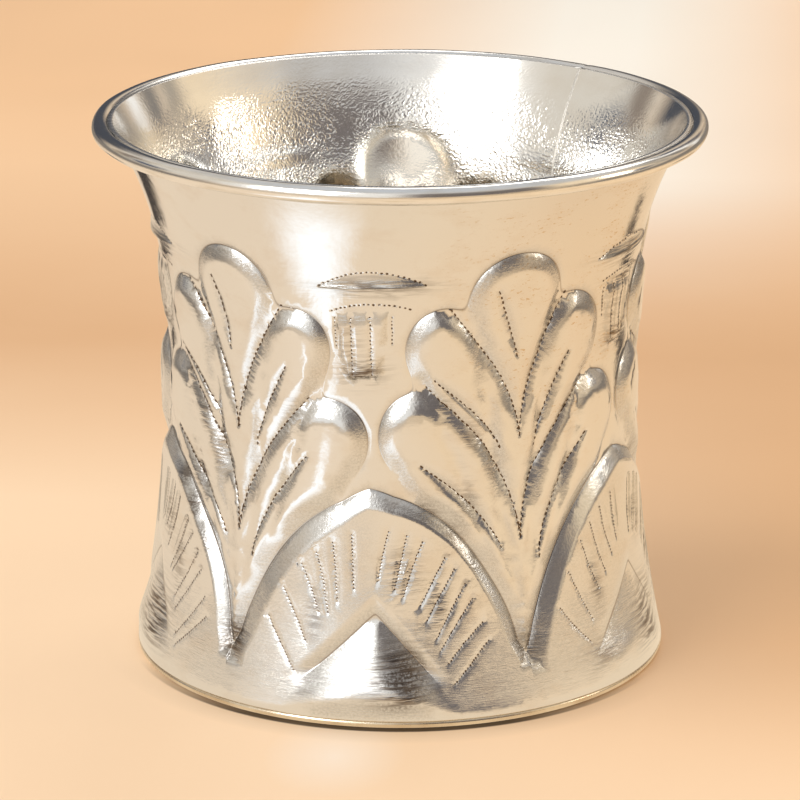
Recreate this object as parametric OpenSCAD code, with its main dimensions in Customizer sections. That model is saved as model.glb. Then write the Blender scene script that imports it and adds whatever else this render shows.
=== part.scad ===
// Panchpatra: a ritual water cup of soldered silver sheet, with a repoussé wall.
// The base stands on the XY plane, the axis is Z, and the front arch faces -Y.

/* [Cup] */
// Outside diameter of the rim wire
rim_d = 75; // [68:0.5:84]
// Height from the table to the top of the rim wire
cup_h = 67.3; // [58:0.1:80]
// Outside diameter of the wall at the waist, in the ground of the ornament
waist_d = 57; // [50:0.5:60]
// Height of the waist above the table
waist_z = 32; // [26:0.5:38]
// Outside diameter of the wall where it stands on the base plate
foot_d = 65.8; // [62:0.2:72]
// Flare of the wall at the lip, measured from upright
lip_angle = 30; // [20:1:40]
// Flare of the wall at the foot, measured from upright
foot_angle = 12; // [7:1:20]

/* [Sheet and wire] */
// Thickness of the wall's sheet
sheet_t = 0.65; // [0.4:0.05:1]
// Diameter of the round wire at the rim
rim_wire_d = 2.2; // [1.4:0.1:3]
// How far the wall's upper edge lies below the top of the rim wire
lip_drop = 0.3; // [0.1:0.05:0.6]
// Thickness of the base plate
base_t = 1; // [0.6:0.1:2]
// How far the base plate stands out past the wall
base_lip = 0.2; // [0:0.05:0.6]

/* [Solder] */
// Width of the upright seam at the back of the wall
seam_w = 0.3; // [0.15:0.05:0.6]
// Thickness of the solder where the rim wire is closest to the wall
rim_film = 0.05; // [0.03:0.01:0.12]
// How far the rim solder reaches below the middle of the wire
rim_fillet = 0.5; // [0.2:0.05:0.6]
// Leg of the solder fillet in the corner between wall and base
base_fillet = 1; // [0.5:0.1:2]

/* [Ornament bands] */
// Number of arches, and of palmettes, round the wall
repeats = 5; // [4:1:7]
// Height of the plain band between the base plate and the ornament
foot_band = 4; // [3:0.1:6]
// Height of the plain collar between the ornament and the top of the rim wire
collar_h = 9.3; // [7:0.1:14]
// Width of one repeat on the flat drawing of the ornament
drawing_w = 38; // [36.5:0.5:42]
// Height of the flat drawing of the ornament
drawing_h = 53; // [50:0.5:58]

/* [Relief] */
// Height of the raised fields above the ground
relief_h = 0.9; // [0.3:0.05:1.3]
// Width of the sloping edge inside the outline of a raised field
bevel_w = 1.7; // [1:0.1:2.5]
// Width of the sunk channel between an arch and a palmette
channel_w = 0.9; // [0.5:0.1:1.5]
// How many times steeper the palmette's edge is along that channel
channel_steep = 2.5; // [1:0.1:4]
// Depth of the chased valleys between the lobes of a palmette
valley_d = 0.5; // [0:0.05:0.8]
// Half the width of those valleys
valley_w = 1.5; // [0.8:0.1:2]

/* [Arch on the drawing] */
// Half the width of an arch at its foot
arch_half_w = 17.5; // [15:0.1:18]
// Height of an arch
arch_rise = 22.6; // [18:0.1:25]
// Height of the point that is drawn out of the arch's top
arch_point = 0.9; // [0:0.1:2]
// Half the width of that point
arch_point_w = 4; // [2:0.1:8]
// Height of the hill's peak in the foot of an arch
hill_rise = 8.4; // [6:0.1:11]
// Half the width of the hill at its foot
hill_half_w = 8.6; // [6:0.1:11]
// Depth of the crease along the hill's edge
hill_crease = 0.7; // [0:0.05:0.9]
// Half the width of that crease
hill_crease_w = 2; // [1:0.1:3]

/* [Palmette on the drawing] */
// Height of the point that the lobes spring from
root_y = 4; // [2:0.1:8]
// Radius of the lobes where they spring
root_r = 1.4; // [0.6:0.1:2]
// Height of the top lobe's centre
top_lobe_y = 46.2; // [43:0.1:48]
// Radius of the top lobe
top_lobe_r = 6.1; // [4.5:0.1:6.8]
// Height of an upper side lobe's centre
upper_lobe_y = 40.1; // [37:0.1:42]
// Distance of an upper side lobe's centre from the palmette's middle
upper_lobe_x = 8.5; // [7:0.1:10]
// Radius of an upper side lobe
upper_lobe_r = 5.3; // [4:0.1:6]
// Height of a lower side lobe's centre
lower_lobe_y = 29.2; // [26:0.1:31]
// Distance of a lower side lobe's centre from the palmette's middle
lower_lobe_x = 12.7; // [11:0.1:13]
// Radius of a lower side lobe
lower_lobe_r = 5.2; // [4:0.1:5.4]

/* [Hidden] */
$fn = 180;

silver = [0.87, 0.84, 0.78];
wire_silver = [0.82, 0.82, 0.81];
solder_grey = [0.7, 0.67, 0.6];

// Rim: the wire lies against the straight flared lip
wire_r = rim_wire_d / 2;
wire_ring_r = rim_d / 2 - wire_r;
wire_z = cup_h - wire_r;
lip_z = cup_h - rim_wire_d;
lip_r = wire_ring_r - (wire_r + rim_film) / cos(lip_angle) - (wire_z - lip_z) * tan(lip_angle);
wall_top = cup_h - lip_drop;

// Ground of the wall: a waist that flares to the lip and to the foot, whose band is raised
waist_r = waist_d / 2;
foot_r = foot_d / 2;
foot_ground_r = foot_r - relief_h;
lip_power = tan(lip_angle) * (lip_z - waist_z) / (lip_r - waist_r);
foot_power = tan(foot_angle) * (waist_z - base_t) / (foot_ground_r - waist_r);

// The wall is a strip bent round from one side of the seam to the other, with an arch in front
half_seam = seam_w / 2 / waist_r * 180 / PI;
front_angle = 270;
seam_angle = front_angle - 360 * ceil(repeats / 2) / repeats;
strip_angle = 360 - 2 * half_seam;

// The ornament's drawing is stretched over the wall between these heights
ornament_low = base_t + foot_band;
ornament_high = cup_h - collar_h;
drawing_scale = drawing_h / (ornament_high - ornament_low);
half_w = drawing_w / 2;

// Each repeat is a web of spokes from a hub in the palmette to the edges of the drawing.
// On the right half they run from straight down to straight up, through the ornament's corners
hub = [0, lower_lobe_y - lower_lobe_r];
foot_y = (base_t + base_fillet - ornament_low) * drawing_scale;
lip_y = (lip_z - ornament_low) * drawing_scale;
hill_foot_way = way([half_w - hill_half_w, 0]);
foot_corner_way = way([half_w, foot_y]);
hill_peak_way = way([half_w, hill_rise]);
hill_brow_way = way([half_w, hill_rise + hill_crease_w * norm([hill_rise, hill_half_w]) / hill_half_w]);
arch_peak_way = way([half_w, arch_rise + arch_point]);
lower_valley_way = way([upper_lobe_x + lower_lobe_x, upper_lobe_y + lower_lobe_y] / 2);
lip_corner_way = way([half_w, lip_y]);
upper_valley_way = way([upper_lobe_x, upper_lobe_y + top_lobe_y] / 2);
upper_valley_x = (lip_y - hub[1]) * tan(90 - upper_valley_way);
foot_ways = concat(steps(-90, hill_foot_way, 4), steps(hill_foot_way, foot_corner_way, 2));
side_ways = concat(
    steps(foot_corner_way, hill_peak_way, 3),
    steps(hill_peak_way, hill_brow_way, 1),
    steps(hill_brow_way, arch_peak_way, 4),
    steps(arch_peak_way, lower_valley_way, 6),
    steps(lower_valley_way, lip_corner_way, 3)
);
lip_places = concat(steps(half_w, upper_valley_x, 4), steps(upper_valley_x, 0, 4), [0]);
spoke_ends = concat(
    [for (a = foot_ways) [(hub[1] - foot_y) * tan(a + 90), foot_y]],
    [for (a = side_ways) [half_w, hub[1] + half_w * tan(a)]],
    [for (x = lip_places) [x, lip_y]]
);
foot_spokes = len(foot_ways);
lip_spokes = len(lip_places) - 1;
half_spokes = len(spoke_ends) - 1;
spokes = 2 * half_spokes;

// The web's rings follow these outlines, each negative before it and positive behind it
outlines = [
    function (p) palmette_gap(p) + bevel_w,
    function (p) palmette_gap(p),
    function (p) -arch_gap(p),
    function (p) -arch_gap(p) - bevel_w,
    function (p) hill_depth(p) + hill_crease_w,
    function (p) hill_depth(p),
    function (p) hill_depth(p) - hill_crease_w
];
plateau_shares = [0.6];
least_share = 0.01;
halvings = 16;
spoke_shares = [for (end = spoke_ends)
    let (outer = ring_shares(end, 0, 0))
    concat([for (share = plateau_shares) share * outer[0]], outer)];
web_rings = len(spoke_shares[0]);
edge_ring = web_rings + 1;
web_size = 1 + spokes * edge_ring;

// Direction of p from the hub
function way(p) = atan2(p[1] - hub[1], p[0] - hub[0]);

function steps(from, to, count) = [for (i = [0:count - 1]) from + (to - from) * i / count];

// Radius of the ground's outer face at height z
function ground_r(z) =
    z > lip_z ? lip_r + (z - lip_z) * tan(lip_angle)
    : z > waist_z ? waist_r + (lip_r - waist_r) * pow((z - waist_z) / (lip_z - waist_z), lip_power)
    : waist_r + (foot_ground_r - waist_r) * pow((waist_z - z) / (waist_z - base_t), foot_power);

// A smooth rise from 0 to 1
function ramp(x) = let (t = max(0, min(1, x))) t * t * (3 - 2 * t);

// Distance of p from a lobe with a round tip that tapers to the palmette's root, negative inside
function lobe_gap(p, tip, tip_r) =
    let (
        root = [0, root_y],
        length = norm(root - tip),
        along = (root - tip) / length,
        q = [abs(cross(along, p - tip)), along * (p - tip)],
        taper = (tip_r - root_r) / length,
        square = sqrt(1 - taper * taper),
        k = q * [-taper, square]
    )
    k < 0 ? norm(q) - tip_r
    : k > square * length ? norm(q - [0, length]) - root_r
    : q * [square, taper] - tip_r;

// Distance from the outline of the palmette in the middle of the drawing, negative inside
function palmette_gap(p) =
    max(
        min(
            lobe_gap(p, [0, top_lobe_y], top_lobe_r),
            lobe_gap(p, [upper_lobe_x, upper_lobe_y], upper_lobe_r),
            lobe_gap(p, [lower_lobe_x, lower_lobe_y], lower_lobe_r)
        ),
        channel_steep * (channel_w - arch_gap(p))
    );

// Distance from the outline of the arch at the side of the drawing, negative inside
function arch_gap(p) =
    let (
        x = half_w - p[0],
        rise = arch_rise + arch_point * max(0, 1 - x / arch_point_w),
        q = [x / arch_half_w, max(p[1], 0) / rise],
        k = max(norm(q), least_share)
    )
    (k - 1) * k / max(norm([q[0] / arch_half_w, q[1] / rise]), least_share / arch_rise);

// How far p lies under the straight edge of the hill in the foot of the arch
function hill_depth(p) =
    (hill_rise * (1 - (half_w - p[0]) / hill_half_w) - p[1]) * hill_half_w / norm([hill_rise, hill_half_w]);

// Depth of a valley that runs out from the hub between two lobes, deepest at their notch
function valley(p, valley_way) =
    let (
        along = [cos(valley_way), sin(valley_way)],
        reach = max(0, (p - hub) * along)
    )
    valley_d
    * ramp(1 - norm(p - hub - reach * along) / valley_w)
    * min(1, reach / (lower_lobe_x + lower_lobe_r));

// Depth of the crease along the hill's edge, which runs out in the foot band
function crease(p) =
    hill_crease * ramp(1 - abs(hill_depth(p)) / hill_crease_w) * ramp(1 - p[1] / min(foot_y, 0));

// Height of the relief above the ground, on the right half of the drawing
function relief(p) =
    ramp(-min(palmette_gap(p), arch_gap(p), p[1]) / bevel_w)
    * (relief_h - valley(p, upper_valley_way) - valley(p, lower_valley_way) - crease(p));

// Where f turns positive on the spoke to end, between two shares of the spoke
function crossing(f, end, low, high, steps) =
    let (middle = (low + high) / 2)
    steps == 0 ? middle
    : f(hub + middle * (end - hub)) < 0 ? crossing(f, end, middle, high, steps - 1)
    : crossing(f, end, low, middle, steps - 1);

// Shares of a spoke at which the rings cross it. Rings whose outline it misses are spread evenly
function ring_shares(end, from, k) =
    k == len(outlines) ? [1]
    : let (
        left = len(outlines) - k + 1,
        even = from + (1 - from) / left,
        found = outlines[k](end) > 0 ? crossing(outlines[k], end, from, 1, halvings) : even,
        share = max(from + least_share, min(found, 1 - least_share * (left - 1)))
    )
    concat([share], ring_shares(end, share, k + 1));

function mirrored(s) = min(s, spokes - s);
function at_foot(s) = mirrored(s) <= foot_spokes;
function at_lip(s) = mirrored(s) >= half_spokes - lip_spokes;
function at_side(s) = mirrored(s) >= foot_spokes && mirrored(s) <= half_spokes - lip_spokes;

// A point of the wall, at x and y on a repeat of the drawing, and at height z
function wall_point(repeat, p, z, inset) =
    let (
        angle = seam_angle + half_seam + strip_angle * (repeat + 0.5 + p[0] / drawing_w) / repeats,
        r = ground_r(z) + relief([abs(p[0]), p[1]]) - inset
    )
    [r * cos(angle), r * sin(angle), z];

// Ring k of spoke s. The edge ring drops to the base plate or rises to the edge of the lip
function web_point(repeat, s, k, inset) =
    let (
        end = spoke_ends[mirrored(s)],
        q = hub + spoke_shares[mirrored(s)][min(k, web_rings) - 1] * (end - hub),
        p = [s > half_spokes ? -q[0] : q[0], q[1]],
        edge_z = at_lip(s) ? wall_top : base_t
    )
    wall_point(repeat, p, k == edge_ring ? edge_z : ornament_low + p[1] / drawing_scale, inset);

function web_points(inset) =
    [for (repeat = [0:repeats - 1]) each concat(
        [wall_point(repeat, hub, ornament_low + hub[1] / drawing_scale, inset)],
        [for (s = [0:spokes - 1]) for (k = [1:edge_ring]) web_point(repeat, s, k, inset)]
    )];

// Number of a web point. The left edge of a repeat is the right edge of the one before it
function id(repeat, s, k) =
    let (turn = s % spokes)
    repeat > 0 && k >= web_rings && turn > half_spokes && at_side(turn) ? id(repeat - 1, spokes - turn, k)
    : repeat * web_size + 1 + turn * edge_ring + k - 1;

// Four-sided faces of the outer web, clockwise from outside, and the fans round the hubs
function web_faces() =
    [for (repeat = [0:repeats - 1]) for (s = [0:spokes - 1])
        let (on_edge = (at_foot(s) && at_foot(s + 1)) || (at_lip(s) && at_lip(s + 1)))
        for (k = [1:on_edge ? web_rings : web_rings - 1])
            [id(repeat, s, k), id(repeat, s + 1, k), id(repeat, s + 1, k + 1), id(repeat, s, k + 1)]];

function hub_faces() =
    [for (repeat = [0:repeats - 1]) for (s = [0:spokes - 1])
        [repeat * web_size, id(repeat, s + 1, 1), id(repeat, s, 1)]];

// Numbers of the points along the free edges of the strip, as pairs
function free_edges() =
    let (
        first_end = concat(
            [[spokes - foot_spokes, edge_ring]],
            [for (s = [spokes - foot_spokes:-1:half_spokes + lip_spokes]) [s, web_rings]],
            [[half_spokes + lip_spokes, edge_ring]]
        ),
        first = [for (e = first_end) id(0, e[0], e[1])],
        last = [for (e = first_end) id(repeats - 1, spokes - e[0], e[1])]
    )
    concat(
        [for (i = [1:len(first) - 1]) [first[i], first[i - 1]]],
        [for (i = [1:len(last) - 1]) [last[i - 1], last[i]]],
        [for (repeat = [0:repeats - 1]) for (s = [0:spokes - 1])
            if ((at_foot(s) && at_foot(s + 1)) || (at_lip(s) && at_lip(s + 1)))
                [id(repeat, s, edge_ring), id(repeat, s + 1, edge_ring)]]
    );

// Two triangles over a four-sided face, split along its shorter diagonal
function split(points, f) =
    norm(points[f[0]] - points[f[2]]) < norm(points[f[1]] - points[f[3]])
    ? [[f[0], f[1], f[2]], [f[0], f[2], f[3]]]
    : [[f[1], f[2], f[3]], [f[1], f[3], f[0]]];

function reversed(f) = [for (i = [len(f) - 1:-1:0]) f[i]];

module side_wall() {
    outer = web_points(0);
    points = concat(outer, web_points(sheet_t));
    back = len(outer);
    triangles = concat(hub_faces(), [for (f = web_faces()) each split(points, f)]);
    rim = [for (e = free_edges()) each split(points, [e[0], e[1], e[1] + back, e[0] + back])];
    inner = [for (f = triangles) [for (i = reversed(f)) i + back]];
    color(silver)
        polyhedron(points, concat(triangles, inner, rim), convexity = 4);
}

// The seam's solder is a strip of four-cornered sections, with the wall's own heights
module seam_solder() {
    edge = [for (s = [foot_spokes:half_spokes - lip_spokes]) spoke_ends[s]];
    heights = concat(
        [[edge[0], base_t]],
        [for (p = edge) [p, ornament_low + p[1] / drawing_scale]],
        [[edge[len(edge) - 1], wall_top]]
    );
    sections = [for (h = heights) each [
        for (corner = [[-1, 0], [1, 0], [1, sheet_t], [-1, sheet_t]])
            let (
                angle = seam_angle + corner[0] * half_seam,
                r = ground_r(h[1]) + relief(h[0]) - corner[1]
            )
            [r * cos(angle), r * sin(angle), h[1]]
    ]];
    top = len(sections) - 4;
    sides = [for (j = [0:4:top - 4]) for (i = [0:3])
        let (next = (i + 1) % 4)
        [j + i, j + i + 4, j + next + 4, j + next]];
    ends = [[0, 1, 2, 3], [top + 3, top + 2, top + 1, top]];
    color(solder_grey)
        polyhedron(sections, [for (f = concat(sides, ends)) each split(sections, f)], convexity = 4);
}

module rim_wire() {
    color(wire_silver)
        rotate_extrude()
            translate([wire_ring_r, wire_z])
                circle(wire_r);
}

// The solder fills the crevice between the straight lip and the wire, round which its side is drawn
// as straight parts that touch the wire in their middles
module rim_solder() {
    parts = 12;
    low_z = wire_z - rim_fillet;
    corner_r = wire_r / cos((asin((wall_top - wire_z) / wire_r) + asin(rim_fillet / wire_r)) / parts / 2);
    low_way = -asin(rim_fillet / corner_r);
    top_way = asin((wall_top - wire_z) / corner_r);
    corners = [for (i = [0:parts])
        let (a = low_way + (top_way - low_way) * i / parts)
        [wire_ring_r - corner_r * cos(a), wire_z + corner_r * sin(a)]];
    color(solder_grey)
        rotate_extrude()
            polygon(concat(corners, [
                [lip_r + (wall_top - lip_z) * tan(lip_angle), wall_top],
                [lip_r + (low_z - lip_z) * tan(lip_angle), low_z]
            ]));
}

module base_plate() {
    edge_r = base_t / 2;
    plate_r = foot_r + base_lip - edge_r;
    color(silver) {
        cylinder(r = plate_r, h = base_t);
        rotate_extrude()
            translate([plate_r, edge_r])
                circle(edge_r);
    }
}

// The fillet stays just inside the flat facets of the wall's foot
module base_solder() {
    widest = max([for (i = [1:foot_spokes]) spoke_ends[i][0] - spoke_ends[i - 1][0]]);
    facet = cos(180 / repeats * widest / drawing_w);
    top_z = base_t + base_fillet;
    foot_in = (foot_r - sheet_t) * facet;
    top_in = (ground_r(top_z) + relief_h - sheet_t) * facet;
    color(solder_grey)
        rotate_extrude()
            polygon([
                [foot_in - base_fillet, base_t],
                [foot_in, base_t],
                [top_in, top_z]
            ]);
}

side_wall();
seam_solder();
rim_wire();
rim_solder();
base_plate();
base_solder();
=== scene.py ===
"""A panchpatra, the small silver cup that holds the water in a puja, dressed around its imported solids.

The wall's ornament is drawn flat, in millimetres: x runs round the wall from the seam, z is the height
above the table. The drawing is then wrapped on the wall. Meshes are in metres.
"""
import math

import bmesh
import bpy
import numpy as np
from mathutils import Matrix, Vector, kdtree
from mathutils.geometry import delaunay_2d_cdt


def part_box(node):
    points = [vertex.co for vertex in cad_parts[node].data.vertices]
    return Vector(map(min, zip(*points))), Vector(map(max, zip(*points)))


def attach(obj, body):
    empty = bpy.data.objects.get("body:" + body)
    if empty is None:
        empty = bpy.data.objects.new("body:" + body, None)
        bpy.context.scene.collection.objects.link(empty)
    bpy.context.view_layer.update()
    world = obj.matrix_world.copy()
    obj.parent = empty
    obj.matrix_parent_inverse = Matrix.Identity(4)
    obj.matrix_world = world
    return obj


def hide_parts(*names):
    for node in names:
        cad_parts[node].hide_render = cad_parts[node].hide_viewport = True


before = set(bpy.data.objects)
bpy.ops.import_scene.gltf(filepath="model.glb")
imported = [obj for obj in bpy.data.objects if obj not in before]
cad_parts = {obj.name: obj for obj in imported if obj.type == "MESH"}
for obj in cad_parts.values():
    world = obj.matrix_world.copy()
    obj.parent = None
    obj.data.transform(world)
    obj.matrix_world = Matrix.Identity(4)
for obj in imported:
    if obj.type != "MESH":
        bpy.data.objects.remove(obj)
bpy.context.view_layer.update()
rng = np.random.default_rng(11)
MM = 0.001


def node_box(node):
    """Two corners of a node's box, in millimetres."""
    low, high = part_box(node)
    return np.array(low) / MM, np.array(high) / MM


# Sizes taken from the solids
wire_low, wire_high = node_box("rim_wire")
wall_high = node_box("side_wall")[1]
plate_high = node_box("base_plate")[1]
RIM_R = wire_high[1]
CUP_H = wire_high[2]
WIRE_R = (wire_high[2] - wire_low[2]) / 2
WALL_TOP = wall_high[2]
BASE_T = plate_high[2]
PLATE_R = plate_high[1]

# Sizes of the wall
SHEET_T = 0.65
WAIST_R = 28.5
WAIST_Z = 32.0
FOOT_R = 32.9
RELIEF = 0.9
LIP_SLOPE = math.tan(math.radians(30))
FOOT_SLOPE = math.tan(math.radians(12))
WIRE_FILM = 0.05
SEAM_ANGLE = 54.0
SEAM_W = 0.3

WIRE_RING_R = RIM_R - WIRE_R
WIRE_Z = CUP_H - WIRE_R
LIP_Z = CUP_H - 2 * WIRE_R
LIP_R = WIRE_RING_R - (WIRE_R + WIRE_FILM) * math.hypot(1, LIP_SLOPE) - (WIRE_Z - LIP_Z) * LIP_SLOPE
FOOT_GROUND_R = FOOT_R - RELIEF
LIP_POWER = LIP_SLOPE * (LIP_Z - WAIST_Z) / (LIP_R - WAIST_R)
FOOT_POWER = FOOT_SLOPE * (WAIST_Z - BASE_T) / (FOOT_GROUND_R - WAIST_R)
HALF_SEAM = math.degrees(SEAM_W / 2 / WAIST_R)

# The drawing: five palmettes with half an arch on either side
REPEATS = 5
REPEAT_W = 38.0
STRIP_W = REPEATS * REPEAT_W
FRONT_X = 3 * REPEAT_W
FOOT_BAND_Z = 5.0
STEM_FOOT_Z = 7.4


def lip_r(z):
    """Radius of the outer face beside the wire, where it is a plain cone."""
    return LIP_R + (z - LIP_Z) * LIP_SLOPE


def ground_r(z):
    """Radius of the wall's outer face, without the ornament."""
    up = np.clip((z - WAIST_Z) / (LIP_Z - WAIST_Z), 0, 1)
    down = np.clip((WAIST_Z - z) / (WAIST_Z - BASE_T), 0, 1)
    body = WAIST_R + (LIP_R - WAIST_R) * up ** LIP_POWER + (FOOT_GROUND_R - WAIST_R) * down ** FOOT_POWER
    return np.where(z > LIP_Z, lip_r(z), body)


BEVEL_STRAIGHT = 0.7


def ramp(t):
    """A smooth step from 0 to 1."""
    t = np.clip(t, 0, 1)
    return t * t * (3 - 2 * t)


def bevel(t):
    """A slope from 0 to 1 that is straight at first and then rounds over."""
    t = np.clip(t, 0, 1)
    rest = 1 - BEVEL_STRAIGHT
    late = np.clip((t - BEVEL_STRAIGHT) / rest, 0, 1)
    return (np.minimum(t, BEVEL_STRAIGHT) + rest * (late - late ** 2 / 2)) / (BEVEL_STRAIGHT + rest / 2)


# Outlines of the raised fields, as distances that are negative inside. Each lobe has the middle and the
# radius of its tip
ROOT = (0.4, 6.5)
ROOT_R = 1.2
LOBES = (
    (-0.6, 50.6, 6.3),
    (7.7, 45.2, 5.4), (-9.7, 45.2, 5.4),
    (12.6, 34.3, 5.3), (-13.5, 34.9, 5.2),
)
LOBE_JOIN = 0.6
ARCH_HALF_W = 18.6
ARCH_RISE = 23.0
ARCH_POWERS = (1.7, 1.88)
ARCH_POINT = 0.6
ARCH_POINT_W = 3.5
ARCH_FLARE = 0.6
ARCH_FLARE_TOP = 9.5
ARCH_FLARE_RUN = 3.0
ARCH_LEAN = -0.9
ARCH_LEAN_FROM = 12.0
ARCH_LEAN_RUN = 16.0
ARCH_DEEPEST = -12.0
CHANNEL_W = 0.15


def lobe_gap(u, z, lobe):
    """Distance from a lobe with a round tip that tapers to the palmette's root, and the cosine of the
    direction from the tip's middle, which is 1 along the lobe's axis."""
    tip_x, tip_z, tip_r = lobe
    dx, dz = ROOT[0] - tip_x, ROOT[1] - tip_z
    length = math.hypot(dx, dz)
    ax, az = dx / length, dz / length
    across = np.abs(ax * (z - tip_z) - az * (u - tip_x))
    along = ax * (u - tip_x) + az * (z - tip_z)
    taper = (tip_r - ROOT_R) / length
    square = math.sqrt(1 - taper * taper)
    k = -taper * across + square * along
    side = square * across + taper * along - tip_r
    away = np.hypot(across, along)
    root = np.hypot(across, along - length) - ROOT_R
    gap = np.where(k < 0, away - tip_r, np.where(k > square * length, root, side))
    return gap, -along / np.maximum(away, 0.05)


def arch_gap(a, z):
    """The pointed arch, with a its distance from the arch's middle."""
    flare = ARCH_FLARE * ramp((ARCH_FLARE_TOP - z) / ARCH_FLARE_RUN)
    a = a - ARCH_LEAN * ramp((z - ARCH_LEAN_FROM) / ARCH_LEAN_RUN)
    power = np.where(a < 0, *ARCH_POWERS)
    a = np.abs(a)
    rise = ARCH_RISE + ARCH_POINT * np.clip(1 - a / ARCH_POINT_W, 0, 1)
    qx = np.maximum(a - flare, 0.01) / ARCH_HALF_W
    qz = np.maximum(z - FOOT_BAND_Z, 0.01) / rise
    k = (qx ** power + qz ** power) ** (1 / power)
    steep = np.hypot((qx / k) ** (power - 1) / ARCH_HALF_W, (qz / k) ** (power - 1) / rise)
    return np.maximum((k - 1) / steep, ARCH_DEEPEST)


def foot_gap(a, z):
    """The arch and the plain band under it, as one field."""
    return np.minimum(arch_gap(a, z), z - STEM_FOOT_Z)


def union_gap(u, z):
    """Distance from the lobes, joined with small rounds, and their directions blended likewise."""
    weights, directions = 0.0, 0.0
    for lobe in LOBES:
        gap, turn = lobe_gap(u, z, lobe)
        weight = np.exp(-np.clip(gap, -20, 20) / LOBE_JOIN)
        weights = weights + weight
        directions = directions + weight * turn
    return -LOBE_JOIN * np.log(weights), directions / weights


def from_palmette(x):
    """Distance from the middle of the nearest palmette."""
    return np.mod(x, REPEAT_W) - REPEAT_W / 2


def from_arch(x):
    """Distance from the middle of the nearest arch."""
    return np.mod(x + REPEAT_W / 2, REPEAT_W) - REPEAT_W / 2


# Chased grooves. A dot has a half length, a half width and a depth
DASH = (0.3, 0.13, 0.045)
DOT = (0.14, 0.12, 0.045)
LENS_DOT = (0.2, 0.13, 0.06)
BAR_DOT = (0.2, 0.14, 0.06)
DOT_REACH = 0.5
FLUTE_SIDE = 0.35
VALLEY_POWER = 1.5
END_RUN = 0.3
END_WIDTH = 0.35


class Groove:
    """A groove along a line, with dots punched along its bottom. It is V-shaped, or flat if it is a flute.
    Its depth runs out to a share at either end, called blunt."""

    def __init__(self, points, width, depth, blunt, pitch=0.7, dot=DASH, flute=False):
        self.points = np.array(points, float)
        steps = np.linalg.norm(np.diff(self.points, axis=0), axis=1)
        self.run = np.concatenate([[0], np.cumsum(steps)])
        share = self.run / self.run[-1]
        ends = np.interp(share, (0, END_RUN, 1 - END_RUN, 1), (blunt[0], 1, 1, blunt[1]))
        self.width = width * (END_WIDTH + (1 - END_WIDTH) * ends)
        self.depth = depth * ends
        self.flute = flute
        self.dots = self.punch(pitch, dot)
        reach = max(width, 1.0)
        self.low = self.points.min(0) - reach
        self.high = self.points.max(0) + reach

    def at(self, run):
        """Places at given distances along the line."""
        return np.stack([np.interp(run, self.run, self.points[:, i]) for i in (0, 1)], -1)

    def ahead(self, run, step=0.1):
        """Directions along the line, not of unit length."""
        return self.at(run + step) - self.at(run - step)

    def punch(self, pitch, dot):
        """Rows of x, z, direction, half length, half width and depth, each a little off its mark."""
        count = max(2, round(self.run[-1] / pitch))
        run = (np.arange(count) + 0.5) / count * self.run[-1] + rng.normal(0, 0.03, count)
        place = self.at(run) + rng.normal(0, 0.025, (count, 2))
        ahead = self.ahead(run)
        way = np.arctan2(ahead[:, 1], ahead[:, 0]) + rng.normal(0, 0.15, count)
        size = np.array(dot) * rng.uniform(0.7, 1.2, (count, 3))
        return np.column_stack([place, way, size])

    def near(self, x, z):
        """Numbers of the points that the groove may reach."""
        beside = (x > self.low[0]) & (x < self.high[0])
        return np.flatnonzero(beside & (z > self.low[1]) & (z < self.high[1]))

    def cut(self, x, z, widen):
        """Depth of the groove at points that lie near it."""
        best = np.full(len(x), np.inf)
        depth = np.zeros(len(x))
        width = np.ones(len(x))
        for i in range(len(self.points) - 1):
            p, q = self.points[i], self.points[i + 1]
            d = q - p
            t = np.clip(((x - p[0]) * d[0] + (z - p[1]) * d[1]) / (d @ d), 0, 1)
            gap = np.hypot(x - p[0] - t * d[0], z - p[1] - t * d[1])
            closer = gap < best
            best = np.where(closer, gap, best)
            depth = np.where(closer, self.depth[i] + t * (self.depth[i + 1] - self.depth[i]), depth)
            width = np.where(closer, self.width[i] + t * (self.width[i + 1] - self.width[i]), width)
        share = np.clip(best / (width * widen), 0, 1)
        return depth * (ramp((1 - share) / FLUTE_SIDE) if self.flute else (1 - share) ** VALLEY_POWER)

    def dot_cut(self, x, z):
        """Depth of the dots, and how far inside a dot each point lies."""
        deepest = np.zeros(len(x))
        inside = np.zeros(len(x))
        for dx, dz, way, half_l, half_w, depth in self.dots:
            close = np.flatnonzero((np.abs(x - dx) < DOT_REACH) & (np.abs(z - dz) < DOT_REACH))
            ux, uz = x[close] - dx, z[close] - dz
            along = (ux * math.cos(way) + uz * math.sin(way)) / half_l
            across = (uz * math.cos(way) - ux * math.sin(way)) / half_w
            bowl = np.clip(1 - along ** 2 - across ** 2, 0, 1)
            deepest[close] = np.maximum(deepest[close], depth * bowl)
            inside[close] = np.maximum(inside[close], bowl)
        return deepest, inside

    def round_ends(self, share):
        """Half rings round both ends of the groove, at a share of its width."""
        for run, width, outwards in ((0.0, self.width[0], -1), (self.run[-1], self.width[-1], 1)):
            ahead = outwards * self.ahead(run, 0.2)
            way = math.atan2(ahead[1], ahead[0]) + np.radians(np.linspace(-75, 75, 6))
            yield self.at(run) + share * width * np.column_stack([np.cos(way), np.sin(way)])

    def beside(self, spacing, share):
        """Lines along both sides of the groove, at a share of its width."""
        run = np.arange(0, self.run[-1], spacing)
        ahead = self.ahead(run)
        ahead /= np.linalg.norm(ahead, axis=1)[:, None]
        width = share * np.interp(run, self.run, self.width)[:, None]
        across = np.stack([-ahead[:, 1], ahead[:, 0]], -1) * width
        return self.at(run) + across, self.at(run) - across


def frond(low, high, power, count=14):
    """Points of a line that leaves its low end upright and leans over towards its high end."""
    share = np.linspace(0, 1, count)
    x = low[0] + (high[0] - low[0]) * share ** power
    z = low[1] + (high[1] - low[1]) * share
    return np.column_stack([x, z])


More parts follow.
